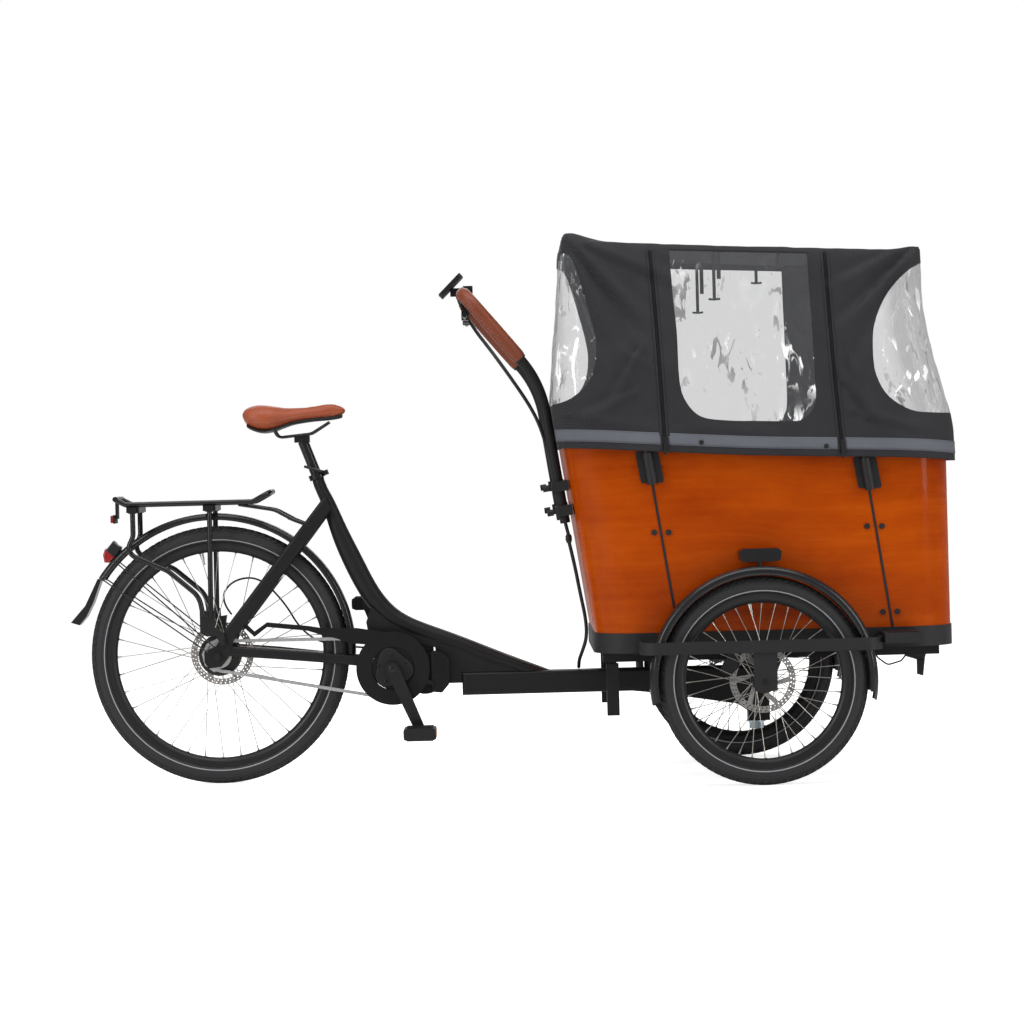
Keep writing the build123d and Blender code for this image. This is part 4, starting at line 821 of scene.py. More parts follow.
def makeTyre(name, sizes, centre, body, slotName):
    carcass = turned(name + "Casing", casingProfile(sizes), 160, tyreRubber, centre)
    half, crown = sizes["width"] / 2000, (sizes["tyre"] - 2.0) / 1000
    middle = crown - half
    stripes = []
    for side in (-1, 1):
        # reflective band moulded in the side wall, and two thin ribs beside it
        band = [(middle + (half + more) * cos(angle), side * (half + more) * sin(angle))
                for angle, more in ((2.02, 0.0), (2.02, 0.0004), (1.92, 0.0004), (1.92, 0.0))]
        stripes.append(turned(name + "Stripe", band, 160, stripeGlow, centre))
        for angle in (1.62, 1.25):
            rib = [(middle + (half + more) * cos(angle + da), side * (half + more) * sin(angle + da))
                   for da, more in ((-0.03, -0.0003), (0, 0.0005), (0.03, -0.0003))]
            stripes.append(turned(name + "Rib", rib, 160, tyreRubber, centre))
    # tread: a slanted block on each shoulder and a centre chevron, repeated round the crown
    pitch = fullTurn / sizes["blocks"]

    def onCrown(turn, roll, lift):
        radius = middle + (half + lift) * cos(roll)
        return (radius * cos(turn), (half + lift) * sin(roll), radius * sin(turn))

    vertices, faces = [], []
    for side in (-1, 1):
        for rolls, skew in (((0.42, 0.98), 0.55), ((0.05, 0.37), -0.35)):
            base = len(vertices)
            steps = 3
            for lift in (-0.0005, 0.002):
                for k in range(steps + 1):
                    roll = side * (rolls[0] + (rolls[1] - rolls[0]) * k / steps)
                    lead = skew * pitch * k / steps
                    trim = 0.0 if lift < 0 else 0.06
                    vertices.append(onCrown(lead + pitch * (0.08 + trim), roll, lift))
                    vertices.append(onCrown(lead + pitch * (0.86 - trim), roll, lift))
            row = 2 * (steps + 1)
            for k in range(steps):
                a = base + 2 * k
                faces.append((a + row, a + row + 1, a + row + 3, a + row + 2))
                faces.append((a, a + row, a + row + 2, a + 2))
                faces.append((a + 1, a + 3, a + row + 3, a + row + 1))
            last = base + 2 * steps
            faces.append((base, base + 1, base + row + 1, base + row))
            faces.append((last, last + row, last + row + 1, last + 1))
    block = meshPiece(name + "Block", vertices, faces, None)
    tread = ringOf(block, sizes["blocks"], centre, treadRubber, smoothAngle=30)
    tyre = joinMeshes(name, [carcass, *stripes, tread])
    return put(tyre, body, "tyre_rubber", slotName)


def makeRim(name, sizes, centre, body, node):
    bead, depth = sizes["bead"] / 1000, sizes["rimDepth"] / 1000
    profile = [(bead, -0.0128), (bead - 0.0005, -0.0145), (bead - 0.009, -0.0143), (bead - 0.017, -0.0122),
               (bead - depth + 0.002, -0.0068), (bead - depth, -0.0045), (bead - depth, 0.0045),
               (bead - depth + 0.002, 0.0068), (bead - 0.017, 0.0122), (bead - 0.009, 0.0143),
               (bead - 0.0005, 0.0145), (bead, 0.0128), (bead - 0.007, 0.0105), (bead - 0.007, -0.0105)]
    rim = turned(name, profile, 160, rimAnodised, centre, smoothAngle=50)
    # eyelets where the nipples come through, and the valve
    eyelet = turned(name + "Eyelet", [(0.0, -0.001), (0.0036, -0.001), (0.0036, 0.0006), (0.0026, 0.0012),
                                      (0.0, 0.0012)],
                    12, None, closed=False)
    eyelet.data.transform(Matrix.Rotation(pi / 2, 4, "Z") @ Matrix.Rotation(pi, 4, "X"))
    eyelet.data.transform(Matrix.Translation((bead - depth - 0.0002, 0, 0)))
    eyelets = ringOf(eyelet, sizes["spokes"], centre, rimAnodised)
    stem = tubePiece(name + "Valve", [(bead - depth + 0.002, 0, 0), (bead - depth - 0.012, 0, 0),
                                      (bead - depth - 0.03, 0, 0)], 0.0028, brightSteel, 4,
                     taper=[1, 1, 0.75])
    stem.data.transform(Matrix.Translation(centre) @ Matrix.Rotation(radians(-98.5), 4, "Y"))
    return put(joinMeshes(name, [rim, eyelets, stem]), body, "rim_black", node)


# two crossing spokes on each flange with elbows and nipples; copies complete the wheel
def makeSpokes(name, sizes, centre, offset=0.0):
    bead, depth = sizes["bead"] / 1000, sizes["rimDepth"] / 1000
    flange, wide = sizes["flangeRadius"] / 1000, sizes["flangeOffset"] / 1000
    outer = bead - depth - 0.0005
    step = fullTurn / sizes["spokes"]
    wires, ends = [], []
    for number in range(4):
        side = 1 if number % 2 else -1
        lean = radians(sizes["lead"]) * (1 if number < 2 else -1)
        rimTurn, hubTurn = step * number, step * number + lean
        face = wide + (0.0015 if number < 2 else -0.0022)
        start = Vector((flange * cos(hubTurn), side * face + offset, flange * sin(hubTurn)))
        end = Vector((outer * cos(rimTurn), side * 0.002, outer * sin(rimTurn)))
        run = (end - start).normalized()
        wires.append(tubePiece(name + "Wire", [start, start + run * 0.1, end], 0.001, spokeSteel, 2,
                               density=2))
        head = Vector((0, side * 0.0035, 0))
        wires.append(tubePiece(name + "Elbow", [start - head, start], 0.0014, spokeSteel, 2, density=1))
        ends.append(tubePiece(name + "Nipple", [end - run * 0.013, end - run * 0.011, end], 0.0019,
                              spokeSteel, 2,
                              taper=[0.75, 1.0, 1.1], density=1))
    bundle = joinMeshes(name + "Bundle", wires + ends)
    return ringOf(bundle, sizes["spokes"] // 4, centre, spokeSteel)


# brake disc: a drilled ring on curved arms
def makeRotor(name, y, centre, arms=6, radius=0.08, core=0.022):
    outlines = [circleOutline(0, 0, radius, 96)]
    inner = radius - 0.0155
    for arm in range(arms):
        turn = fullTurn * arm / arms
        reach = fullTurn / arms
        window = []
        for k in range(9):
            share = 0.1 + 0.8 * k / 8
            window.append((inner * cos(turn + reach * share), inner * sin(turn + reach * share)))
        for k in range(6):
            share = 0.82 - 0.64 * k / 5
            window.append(((core + 0.008) * cos(turn + reach * share - 0.35),
                           (core + 0.008) * sin(turn + reach * share - 0.35)))
        outlines.append(window)
    for row, holeRadius in ((radius - 0.0045, 0.0019), (radius - 0.011, 0.0019)):
        for k in range(42):
            turn = fullTurn * k / 42 + (0.04 if row < radius - 0.01 else 0)
            outlines.append(circleOutline(row * cos(turn), row * sin(turn), holeRadius, 8))
    outlines.append(circleOutline(0, 0, core * 0.8, 32))
    return platePiece(name, outlines, y - 0.0009, y + 0.0009, rotorSteel, centre=centre)


def makeRearHub():
    centre = at(0, 0, tyreHigh[2] * 500)
    shell = [(0.0, -0.0355), (0.014, -0.0355), (0.0165, -0.034), (0.0165, -0.0305), (0.034, -0.0298),
             (0.0515, -0.0285),
             (0.0525, -0.0272), (0.0525, -0.0248), (0.0508, -0.0238), (0.0445, -0.0225), (0.0438, -0.02),
             (0.0438, 0.02), (0.0445, 0.0225), (0.0508, 0.0238), (0.0525, 0.0248), (0.0525, 0.0272),
             (0.0515, 0.0285), (0.038, 0.031), (0.03, 0.036), (0.0225, 0.038), (0.022, 0.052), (0.0, 0.052)]
    hub = turned("rearHubShell", shell, 96, hubAnodised, centre, closed=False)
    spokes = makeSpokes("rearSpokes", rearSizes, centre)
    rotor = makeRotor("rearDisc", rearSizes["rotorY"] / 1000, centre)
    bolts = studs("rearDiscBolts", [(centre + Vector((0.02 * cos(fullTurn * k / 6), 0.052,
                                                      0.02 * sin(fullTurn * k / 6))),
                                     (0, 1, 0)) for k in range(6)], smallScrew, brightSteel)
    put(joinMeshes("rearHub", [hub, spokes, rotor, bolts]), "rear_wheel", "hub_black", "rear_hub")


def makeFrontHub(side, sideName):
    wheelLow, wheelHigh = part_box("front_tyre_" + sideName)
    centre = (Vector(wheelLow) + Vector(wheelHigh)) / 2
    shell = [(0.0, -0.035), (0.0115, -0.035), (0.0125, -0.034), (0.0145, -0.0235), (0.0282, -0.0232),
             (0.0292, -0.0222),
             (0.0292, -0.0192), (0.0282, -0.0182), (0.0165, -0.0175), (0.0145, -0.012), (0.0145, 0.017),
             (0.017, 0.0225), (0.0282, 0.0232), (0.0292, 0.0242), (0.0292, 0.0262), (0.0282, 0.0272),
             (0.0165, 0.0278), (0.015, 0.038), (0.0, 0.038)]
    hub = turned("frontHubShell", [(r, side * y) for r, y in shell], 72, hubAnodised, centre, closed=False)
    spokes = makeSpokes("frontSpokes", frontSizes, centre, side * 0.002)
    rotor = makeRotor("frontDisc", -side * frontSizes["rotorY"] / 1000, centre)
    bolts = studs("frontDiscBolts", [(centre + Vector((0.02 * cos(fullTurn * k / 6), -side * 0.0285,
                                                       0.02 * sin(fullTurn * k / 6))), (0, -side, 0))
                                     for k in range(6)], smallScrew, brightSteel)
    name = "frontHub" + sideName.capitalize()
    put(joinMeshes(name, [hub, spokes, rotor, bolts]), "front_wheel_" + sideName, "hub_black",
        "front_hub_" + sideName)
    return centre


makeTyre("rearTyre", rearSizes, at(0, 0, tyreHigh[2] * 500), "rear_wheel", "rear_tyre")
makeRim("rearRim", rearSizes, at(0, 0, tyreHigh[2] * 500), "rear_wheel", "rear_rim")
makeRearHub()
for side, sideName in ((-1, "right"), (1, "left")):
    wheelCentre = makeFrontHub(side, sideName)
    makeTyre("frontTyre" + sideName.capitalize(), frontSizes, wheelCentre, "front_wheel_" + sideName,
             "front_tyre_" + sideName)
    makeRim("frontRim" + sideName.capitalize(), frontSizes, wheelCentre, "front_wheel_" + sideName,
            "front_rim_" + sideName)
print("wheels made")


# canopy, in mm: outlines are (station, height)
canopySizes = {"thick": 0.0011, "sides": 92, "ends": 52, "corner": 10, "rows": 46, "roofRings": 24,
               "stripLow": 17.0,
               "stripHigh": 46.0, "zipWide": 15.0, "toothStep": 0.0026, "stitchStep": 0.0062, "wrinkle": 2.6,
               "hoopLine": ((912, 1338), (1738, 1286)), "snaps": ((1207, 830), (1508, 813)),
               "straps": ((1252, 1299, 1178, 0.004), (1264, 1299, 1226, 0.005), (1408, 1292, 1252, 0.004))}
# height, rearmost and foremost station, half width, corner radius
canopyRings = [(760, 872, 1833, 369, 108), (824, 869, 1831, 368, 106), (860, 861, 1829, 366, 104),
               (933, 853, 1812, 361, 98), (1050, 862, 1780, 352, 86), (1150, 872, 1763, 341, 74),
               (1270, 883, 1760, 326, 58), (1322, 884, 1757, 314, 44), (1370, 892, 1752, 302, 36)]
roofLine = [(870, 1341), (893, 1350), (915, 1341), (949, 1326), (1060, 1318), (1222, 1309), (1430, 1299),
            (1632, 1289),
            (1700, 1288), (1753, 1296), (1770, 1292)]
hemLine = [(860, 825), (963, 820), (1325, 796), (1688, 782), (1840, 770)]
# tension folds: from, to, half width and height, all seen from the side
canopyFolds = [((905, 1332), (1085, 1120), 13, 8.0), ((898, 1325), (1040, 985), 15, 5.0),
               ((930, 1326), (1180, 1215), 12, 4.5),
               ((1075, 1075), (985, 905), 10, 4.0), ((880, 905), (1110, 862), 9, 4.0),
               ((1100, 1010), (1020, 1060), 8, 3.5),
               ((1060, 960), (900, 880), 12, 4.0), ((1742, 1284), (1548, 1085), 13, 8.0),
               ((1748, 1276), (1575, 960), 15, 5.0),
               ((1700, 1284), (1530, 1190), 12, 4.5), ((1560, 1070), (1612, 890), 9, 4.0),
               ((1548, 985), (1650, 860), 10, 4.5),
               ((1560, 900), (1810, 832), 9, 4.0), ((1195, 868), (1440, 842), 10, 3.0)]
sideWindow = [(1143, 1297), (1149, 1190), (1156, 1097), (1159, 980), (1174, 928), (1209, 892), (1273, 881),
              (1345, 878),
              (1415, 876), (1454, 879), (1481, 907), (1487, 946), (1485, 1024), (1483, 1102), (1480, 1190),
              (1477, 1281)]
rearWindow = [(838, 1298), (868, 1299), (899, 1294), (917, 1258), (936, 1189), (954, 1117), (961, 1065),
              (954, 1013),
              (934, 975), (894, 943), (851, 931), (820, 930)]
frontWindow = [(1800, 1252), (1770, 1253), (1745, 1250), (1702, 1218), (1662, 1170), (1634, 1106),
               (1627, 1048), (1634, 982),
               (1662, 930), (1714, 896), (1766, 888), (1830, 887), (1850, 887)]
zipLines = [[(1096, 1298), (1107, 1111), (1120, 812)], [(1519, 1284), (1530, 1035), (1547, 794)]]


def between(table, value):
    value = max(table[0][0], min(table[-1][0], value))
    for low, high in zip(table, table[1:]):
        if value <= high[0]:
            share = (value - low[0]) / (high[0] - low[0])
            return [a + (b - a) * share for a, b in zip(low[1:], high[1:])]


# a smooth line through points, with steps between each pair
def smoothLine(points, steps=6, closed=False):
    count = len(points)
    line = []
    for k in range(count if closed else count - 1):
        near = [points[(k + d) % count] if closed else points[max(0, min(count - 1, k + d))] for d in (-1, 0,
                                                                                                       1, 2)]
        for step in range(steps):
            t = step / steps
            weights = (-t * t * t + 2 * t * t - t, 3 * t ** 3 - 5 * t * t + 2, -3 * t ** 3 + 4 * t * t + t,
                       t ** 3 - t * t)
            line.append(tuple(0.5 * sum(w * p[axis] for w,
                                        p in zip(weights, near)) for axis in range(len(points[0]))))
    if not closed:
        line.append(tuple(points[-1]))
    return line


canopyRings = smoothLine(canopyRings, 5)
hemLine, roofLine = smoothLine(hemLine, 4), smoothLine(roofLine, 4)


# columns run round the box from the right rear corner: side, corner, end, corner and so on
def canopyColumns():
    columns = []
    for side, count in enumerate((canopySizes["sides"], canopySizes["ends"]) * 2):
        columns += [(side, "flat", k / count) for k in range(count)]
        columns += [(side, "bend", k / canopySizes["corner"]) for k in range(canopySizes["corner"])]
    return columns


def onRing(column, rear, front, half, corner):
    side, kind, share = column
    marks = [((rear + corner, -half), (front - corner, -half)),
             ((front, corner - half), (front, half - corner)),
             ((front - corner, half), (rear + corner, half)), ((rear, half - corner), (rear, corner - half))]
    centres = [(front - corner, corner - half), (front - corner, half - corner),
               (rear + corner, half - corner),
               (rear + corner, corner - half)]
    if kind == "flat":
        (x0, y0), (x1, y1) = marks[side]
        return x0 + (x1 - x0) * share, y0 + (y1 - y0) * share
    turn = -pi / 2 + side * pi / 2 + share * pi / 2
    return centres[side][0] + corner * cos(turn), centres[side][1] + corner * sin(turn)


def foldLift(x, z):
    lift = 0.0
    for (ax, az), (bx, bz), wide, high in canopyFolds:
        dx, dz = bx - ax, bz - az
        length = hypot(dx, dz)
        along = ((x - ax) * dx + (z - az) * dz) / length ** 2
        across = ((x - ax) * dz - (z - az) * dx) / length
        if -0.1 < along < 1.1:
            taper = max(0.0, min(1.0, (along + 0.1) * 6, (1.1 - along) * 2.2))
            spread = wide * (0.6 + 0.9 * along)
            ridge = exp(-(across / spread) ** 2)
            trough = exp(-((across - 1.6 * spread) / (0.7 * spread)) ** 2)
            lift += high * taper * (ridge - 0.7 * trough)
    return lift


def canopyPoint(column, level):
    x, y, z = 1300.0, 0.0, 1000.0
    for _ in range(4):
        low, high = between(hemLine, x)[0], between(roofLine, x)[0]
        z = low + level if level <= 60 else low + 60 + (high - low - 60) * (level - 60) / 1000
        x, y = onRing(column, *between(canopyRings, z))
    return x, y, z


def canopyLevels():
    fixed = [0.0, 5.0, 11.0, canopySizes["stripLow"], 24.0, 31.5, 39.0, canopySizes["stripHigh"], 53.0, 60.0]
    rest = canopySizes["rows"]
    return fixed + [60 + 1000 * (k / rest) for k in range(1, rest + 1)]


def buildCanopyMesh():
    columns, levels = canopyColumns(), canopyLevels()
    count = len(columns)
    shape = bmesh.new()
    rings = [[shape.verts.new(canopyPoint(column, level)) for column in columns] for level in levels]
    rim = [v.co.copy() for v in rings[-1]]
    (rearX, rearZ), (frontX, frontZ) = canopySizes["hoopLine"]
    for step in range(1, canopySizes["roofRings"] + 1):
        share = step / canopySizes["roofRings"]
        ring = []
        for k in range(count):
            edge = rim[k]
            goal = Vector((max(rearX + 290, min(frontX - 290, edge.x)), 0.0, 0.0))
            x, y = edge.x + (goal.x - edge.x) * share, edge.y * (1 - share)
            taut = rearZ + (frontZ - rearZ) * (x - rearX) / (frontX - rearX)
            middle = (x - rearX) / (frontX - rearX)
            sag = 11 * max(0.0, 4 * middle * (1 - middle)) ** 0.6
            blend = min(1.0, share * 3.5)
            blend = blend * blend * (3 - 2 * blend)
            ring.append(shape.verts.new((x, y, edge.z * (1 - blend) + (taut - sag) * blend)))
        rings.append(ring)
    for low, high in zip(rings, rings[1:]):
        for k in range(count):
            shape.faces.new((low[k], low[(k + 1) % count], high[(k + 1) % count], high[k]))
    bmesh.ops.remove_doubles(shape, verts=shape.verts, dist=0.05)
    bmesh.ops.recalc_face_normals(shape, faces=shape.faces)
    # soften the turn from wall to roof, then push in the folds
    turnBand = [v for v in shape.verts if v.co.z > between(roofLine, v.co.x)[0] - 24]
    for _ in range(3):
        bmesh.ops.smooth_vert(shape, verts=turnBand, factor=0.4, use_axis_x=True, use_axis_y=True,
                              use_axis_z=True)
    shape.normal_update()
    for v in shape.verts:
        x, y, z = v.co
        hem = between(hemLine, x)[0]
        roof = between(roofLine, x)[0]
        wall = 1.0 - max(0.0, min(1.0, (z - roof + 30) / 30)) * 0.6
        calm = max(0.25, min(1.0, (z - hem - 20) / 60))
        rippled = noise.noise(Vector((x / 62, y / 62 + 7, z / 110)))
        rippled += 0.5 * noise.noise(Vector((x / 27, y / 27, z / 41)))
        slanted = noise.noise(Vector(((x + z) / 30, y / 60, (x - z) / 150)))
        lift = canopySizes["wrinkle"] * (rippled + 0.7 * slanted) * wall * calm
        if abs(v.normal.y) > 0.6 and z < roof - 3:
            lift += foldLift(x, z) * 1.5 * calm
        lift += 1.6 * noise.noise(Vector((x / 38, y / 38, 3.0))) * (1 - calm)
        v.co += v.normal * lift
    return shape


def cutAlong(shape, outline, limit):
    for (ax, az), (bx, bz) in zip(outline, outline[1:]):
        dx, dz = bx - ax, bz - az
        length = hypot(dx, dz)
        near = []
        for face in shape.faces:
            if not limit(face):
                continue
            c = face.calc_center_median()
            along = ((c.x - ax) * dx + (c.z - az) * dz) / length
            across = ((c.x - ax) * dz - (c.z - az) * dx) / length
            if -14 < along < length + 14 and abs(across) < 16:
                near.append(face)
        geometry = near + list({e for f in near for e in f.edges}) + list({v for f in near for v in f.verts})
        bmesh.ops.bisect_plane(shape, geom=geometry, dist=0.02, plane_co=(ax, 0, az), plane_no=(dz, 0, -dx))


def insideOutline(x, z, outline):
    inside = False
    for (ax, az), (bx, bz) in zip(outline, outline[1:] + outline[:1]):
        if (az > z) != (bz > z) and x < ax + (z - az) * (bx - ax) / (bz - az):
            inside = not inside
    return inside


def takeFaces(shape, keep):
    other = shape.copy()
    other.faces.ensure_lookup_table()
    shape.faces.ensure_lookup_table()
    drop = [f for f in other.faces if f.index not in keep]
    bmesh.ops.delete(other, geom=drop, context="FACES")
    return other


def shapeToPiece(shape, name, material, smoothAngle=75.0):
    mesh = bpy.data.meshes.new(name)
    shape.to_mesh(mesh)
    shape.free()
    # the working shape is in mm stations
    mesh.transform(Matrix.Translation(at(0, 0, 0)) @ Matrix.Scale(0.001, 4))
    return fromMesh(name, mesh, material, smoothAngle)


def thicken(piece, thickness, offset=-1.0):
    modifier = piece.modifiers.new("wall", "SOLIDIFY")
    modifier.thickness, modifier.offset = thickness, offset
    return settle(piece)


def boundaryLoops(shape):
    edges = {e for e in shape.edges if len(e.link_faces) == 1}
    loops = []
    while edges:
        edge = edges.pop()
        chain = [edge.verts[0], edge.verts[1]]
        while True:
            onward = [e for e in chain[-1].link_edges if e in edges]
            if not onward:
                break
            edges.discard(onward[0])
            chain.append(onward[0].other_vert(chain[-1]))
        loops.append(chain)
    return loops


clothTree = None


def onCloth(x, z, side, lift=0.4):
    start = at(x, side * 700, z)
    hit, normal, _, _ = clothTree.ray_cast(start, Vector((0, -side, 0)))
    return (hit + normal * lift / 1000, normal) if hit else None


def ribbonOnCloth(name, line, width, side, lift, material, thickness=0.0007):
    rows, vertices, faces = 0, [], []
    for (x, z), (nx, nz) in zip(line, line[1:]):
        dx, dz = nx - x, nz - z
        length = hypot(dx, dz)
        row = []
        for across in (-0.5, -0.17, 0.17, 0.5):
            found = onCloth(x + dz / length * width * across, z - dx / length * width * across, side, lift)
            if found:
                row.append(found[0])
        if len(row) == 4:
            vertices += row
            rows += 1
    for k in range(rows - 1):
        for c in range(3):
            a = k * 4 + c
            faces.append((a, a + 1, a + 5, a + 4) if side < 0 else (a, a + 4, a + 5, a + 1))
    piece = meshPiece(name, vertices, faces, material, 60)
    return thicken(piece, thickness, 0.0)


def isWall(face):
    middle = face.calc_center_median()
    return middle.z < between(roofLine, middle.x)[0] - 6


def makeCanopy():
    global clothTree
    shape = buildCanopyMesh()
    outlines = {"side": smoothLine(sideWindow, 4), "rear": smoothLine(rearWindow, 4),
                "front": smoothLine(frontWindow, 4)}
    cutAlong(shape, outlines["side"] + outlines["side"][:1], lambda f: isWall(f) and abs(f.normal.y) > 0.5)
    cutAlong(shape, outlines["rear"], isWall)
    cutAlong(shape, outlines["front"], isWall)
    shape.normal_update()
    shape.faces.ensure_lookup_table()
    sets = {"side": set(), "rear": set(), "front": set()}
    for face in shape.faces:
        c = face.calc_center_median()
        if not isWall(face):
            continue
        if abs(face.normal.y) > 0.5 and insideOutline(c.x, c.z, outlines["side"]):
            sets["side"].add(face.index)
        elif insideOutline(c.x, c.z, outlines["rear"] + [(700, 930), (700, 1298)]):
            sets["rear"].add(face.index)
        elif insideOutline(c.x, c.z, outlines["front"] + [(2000, 887), (2000, 1252)]):
            sets["front"].add(face.index)
    windows = {name: takeFaces(shape, keep) for name, keep in sets.items()}
    inWindow = sets["side"] | sets["rear"] | sets["front"]
    # the strip is a copy of the wall between its two levels, set proud
    band = []
    for face in shape.faces:
        c = face.calc_center_median()
        above = c.z - between(hemLine, c.x)[0]
        clear = all(abs(c.x - line[-1][0]) > 10 or abs(face.normal.y) < 0.5 for line in zipLines)
        if canopySizes["stripLow"] < above < canopySizes["stripHigh"] and clear and isWall(face):
            band.append(face.index)
    strip = takeFaces(shape, set(band))
    loops = []
    for name, window in windows.items():
        window.normal_update()
        for chain in boundaryLoops(window):
            line = []
            for k, v in enumerate(chain):
                ahead, behind = chain[(k + 1) % len(chain)].co, chain[k - 1].co
                tangent = (ahead - behind)
                if tangent.length < 0.01:
                    continue
                outward = tangent.normalized().cross(v.normal)
                centre = sum((f.calc_center_median() for f in v.link_faces), Vector()) / len(v.link_faces)
                if outward.dot(centre - v.co) > 0:
                    outward = -outward
                line.append(at(*(v.co + outward * 4.5)))
            loops.append(line)
    bmesh.ops.delete(shape, geom=[f for f in shape.faces if f.index in inWindow], context="FACES")
    cloth = shapeToPiece(shape, "canopyCloth", canopyCloth)
    clothTree = BVHTree.FromObject(cloth, bpy.context.evaluated_depsgraph_get())
    cloth = thicken(cloth, canopySizes["thick"], 0.0)
    put(cloth, "canopy", "canopy_fabric", "canopy_roof", "canopy_sides", "canopy_ends")

    # film lies in the middle of the cloth's thickness
    films = [shapeToPiece(window, name + "Film", windowFilm) for name, window in windows.items()]
    film = joinMeshes("canopyWindows", films)
    film.data.shade_smooth()
    put(film, "canopy", "canopy_fabric")

    for v in strip.verts:
        v.co += v.normal * 1.5
    tape = thicken(shapeToPiece(strip, "canopyStrip", reflectTape), 0.0006, 0.0)
    put(tape, "canopy", "canopy_fabric")

    # stitches: round each window, along both edges of the strip and along the hem
    sewn = []
    for line in loops:
        settled = []
        for place in line:
            hit, normal, _, _ = clothTree.find_nearest(place)
            settled.append(hit + normal * 0.0008)
        sewn.append(alongLine("windowStitches", settled, fineStitch, canopySizes["stitchStep"], threadDark,
                              True))
    columns = canopyColumns()
    for level in (3.0, 13.5, canopySizes["stripLow"] + 2.5, canopySizes["stripHigh"] - 2.5):
        line = []
        for column in columns:
            hit, normal, _, _ = clothTree.find_nearest(at(*canopyPoint(column, level)))
            line.append(hit + normal * (0.0024 if level > 15 else 0.0009))
        sewn.append(alongLine("hemStitches", line, fineStitch, canopySizes["stitchStep"], threadDark, True))
    sewnPieces = [put(joinMeshes("canopyStitches", sewn), "canopy", "canopy_fabric")]

    fastenings = []
    tooth = motif(boxPiece("zipTooth", (-0.0008, -0.0024, -0.0006), (0.0008, 0.0024, 0.0012), None, 0.0))
    for side in (-1, 1):
        for ends in zipLines:
            line = smoothLine(ends, 40)
            fastenings.append(ribbonOnCloth("zipTape", line, canopySizes["zipWide"], side, 0.9, tapeCloth))
            for shift in (-7.0, 7.0):
                beside = [(x + shift, z) for x, z in line]
                fastenings.append(ribbonOnCloth("zipWelt", beside, 5.0, side, 1.6, canopyCloth, 0.0012))
            teeth = [found[0] for x, z in line for found in [onCloth(x, z, side, 1.8)] if found]
            fastenings.append(alongLine("zipTeeth", teeth, tooth, canopySizes["toothStep"], blackPlastic))
            x, z = line[-1]
            found = onCloth(x, z + 26, side, 3.0)[0]
            slider = boxPiece("zipSlider", (-0.0055, -0.0025, -0.008), (0.0055, 0.0025, 0.008), blackPlastic,
                              0.0018)
            fastenings.append(moved(slider, found))
            tongue = boxPiece("zipPull", (-0.004, -0.0012, -0.036), (0.004, 0.0012, -0.004), blackPlastic,
                              0.001)
            fastenings.append(moved(tongue, found + Vector((0, side * 0.0035, 0))))
    places = [onCloth(x, z, side, 2.0) for side in (-1, 1) for x, z in canopySizes["snaps"]]
    snap = motif(turned("snapHead", [(0.0, 0.0), (0.0062, 0.0), (0.0062, 0.0012), (0.005, 0.0024),
                                     (0.0026, 0.0031),
                                     (0.0, 0.0032)], 20, None, closed=False))
    snap.data.transform(Matrix.Rotation(pi / 2, 4, "X"))
    fastenings.append(studs("snaps", places, snap, blackPlastic))
    sewnPieces.append(put(joinMeshes("canopyFastenings", fastenings), "canopy", "canopy_fabric"))

    # toggles inside, for the rolled-up side
    straps = []
    for side in (-1, 1):
        for x, top, low, wide in canopySizes["straps"]:
            found = onCloth(x, top - 4, side, -4.0)
            if not found:
                found = (at(x, side * 306, top - 4), None)
            head = found[0]
            foot = at(x, 0, low)
            strap = boxPiece("strap", (-wide, -0.0007, foot.z - head.z), (wide, 0.0007, 0.0), tapeCloth,
                             0.0003, 1)
            straps.append(moved(strap, head - Vector((0, side * 0.012, 0))))
            if wide < 0.005:
                bar = tubePiece("toggle", [(-0.014, 0, 0), (-0.008, 0, -0.0015), (0.008, 0, -0.0015),
                                           (0.014, 0, 0)], 0.0026,
                                blackPlastic, 4)
                straps.append(moved(bar, Vector((head.x, head.y - side * 0.012, foot.z))))
    sewnPieces.append(put(joinMeshes("canopyStraps", straps), "canopy", "canopy_fabric"))


makeCanopy()
print("canopy made")


# saddle, grips and cables
saddleSizes = {"rings": [(73, 30, 925, 937), (80, 54, 910, 947), (94, 68, 898, 952), (122, 76, 889, 953),
                         (150, 71, 892, 950),
                         (178, 58, 901, 945), (205, 44, 909, 944), (250, 28, 915, 946), (295, 23, 918, 952),
                         (320, 19, 922, 948), (334, 10, 928, 941)],
               "around": 44, "voxel": 0.0045, "pressure": 4.0, "cap": 0.0035, "frames": 20}
gripSizes = {"radius": 17.6, "length": 212, "corner": 50, "inner": 204, "top": (641, 1209), "half": 270,
             "legHalf": 235,
             "leg": (867, 712), "lean": 8.6, "bend": 988}


def saddleShell(name, rings, shrink, material):
    around = saddleSizes["around"]
    vertices = []
    for station, half, low, high in rings:
        middle, tall = (low + high) / 2, (high - low) / 2 - shrink
        for k in range(around):
            turn = fullTurn * k / around
            c, s = cos(turn), sin(turn)
            wide = (half - shrink) * (abs(c) ** 0.72) * (1 if c > 0 else -1)
            rise = tall * (abs(s) ** (0.82 if s > 0 else 0.7)) * (1 if s > 0 else -1)
            # the top is crowned, with a shallow hollow along the middle
            hollow = 2.2 * exp(-(wide / 10) ** 2) if s > 0 and station < 240 else 0.0
            vertices.append(at(station, wide, middle + rise - hollow))
    count = len(rings)
    faces = ringFaces(count - 1, around)
    for ring, way in ((0, -1), (count - 1, 1)):
        centre = len(vertices)
        mean = sum((vertices[ring * around + k] for k in range(around)), Vector()) / around
        vertices.append(mean + Vector((way * 0.003, 0, 0)))
        faces += [(centre, ring * around + k, ring * around + (k + 1) % around) for k in range(around)]
    return meshPiece(name, vertices, faces, material, 60)


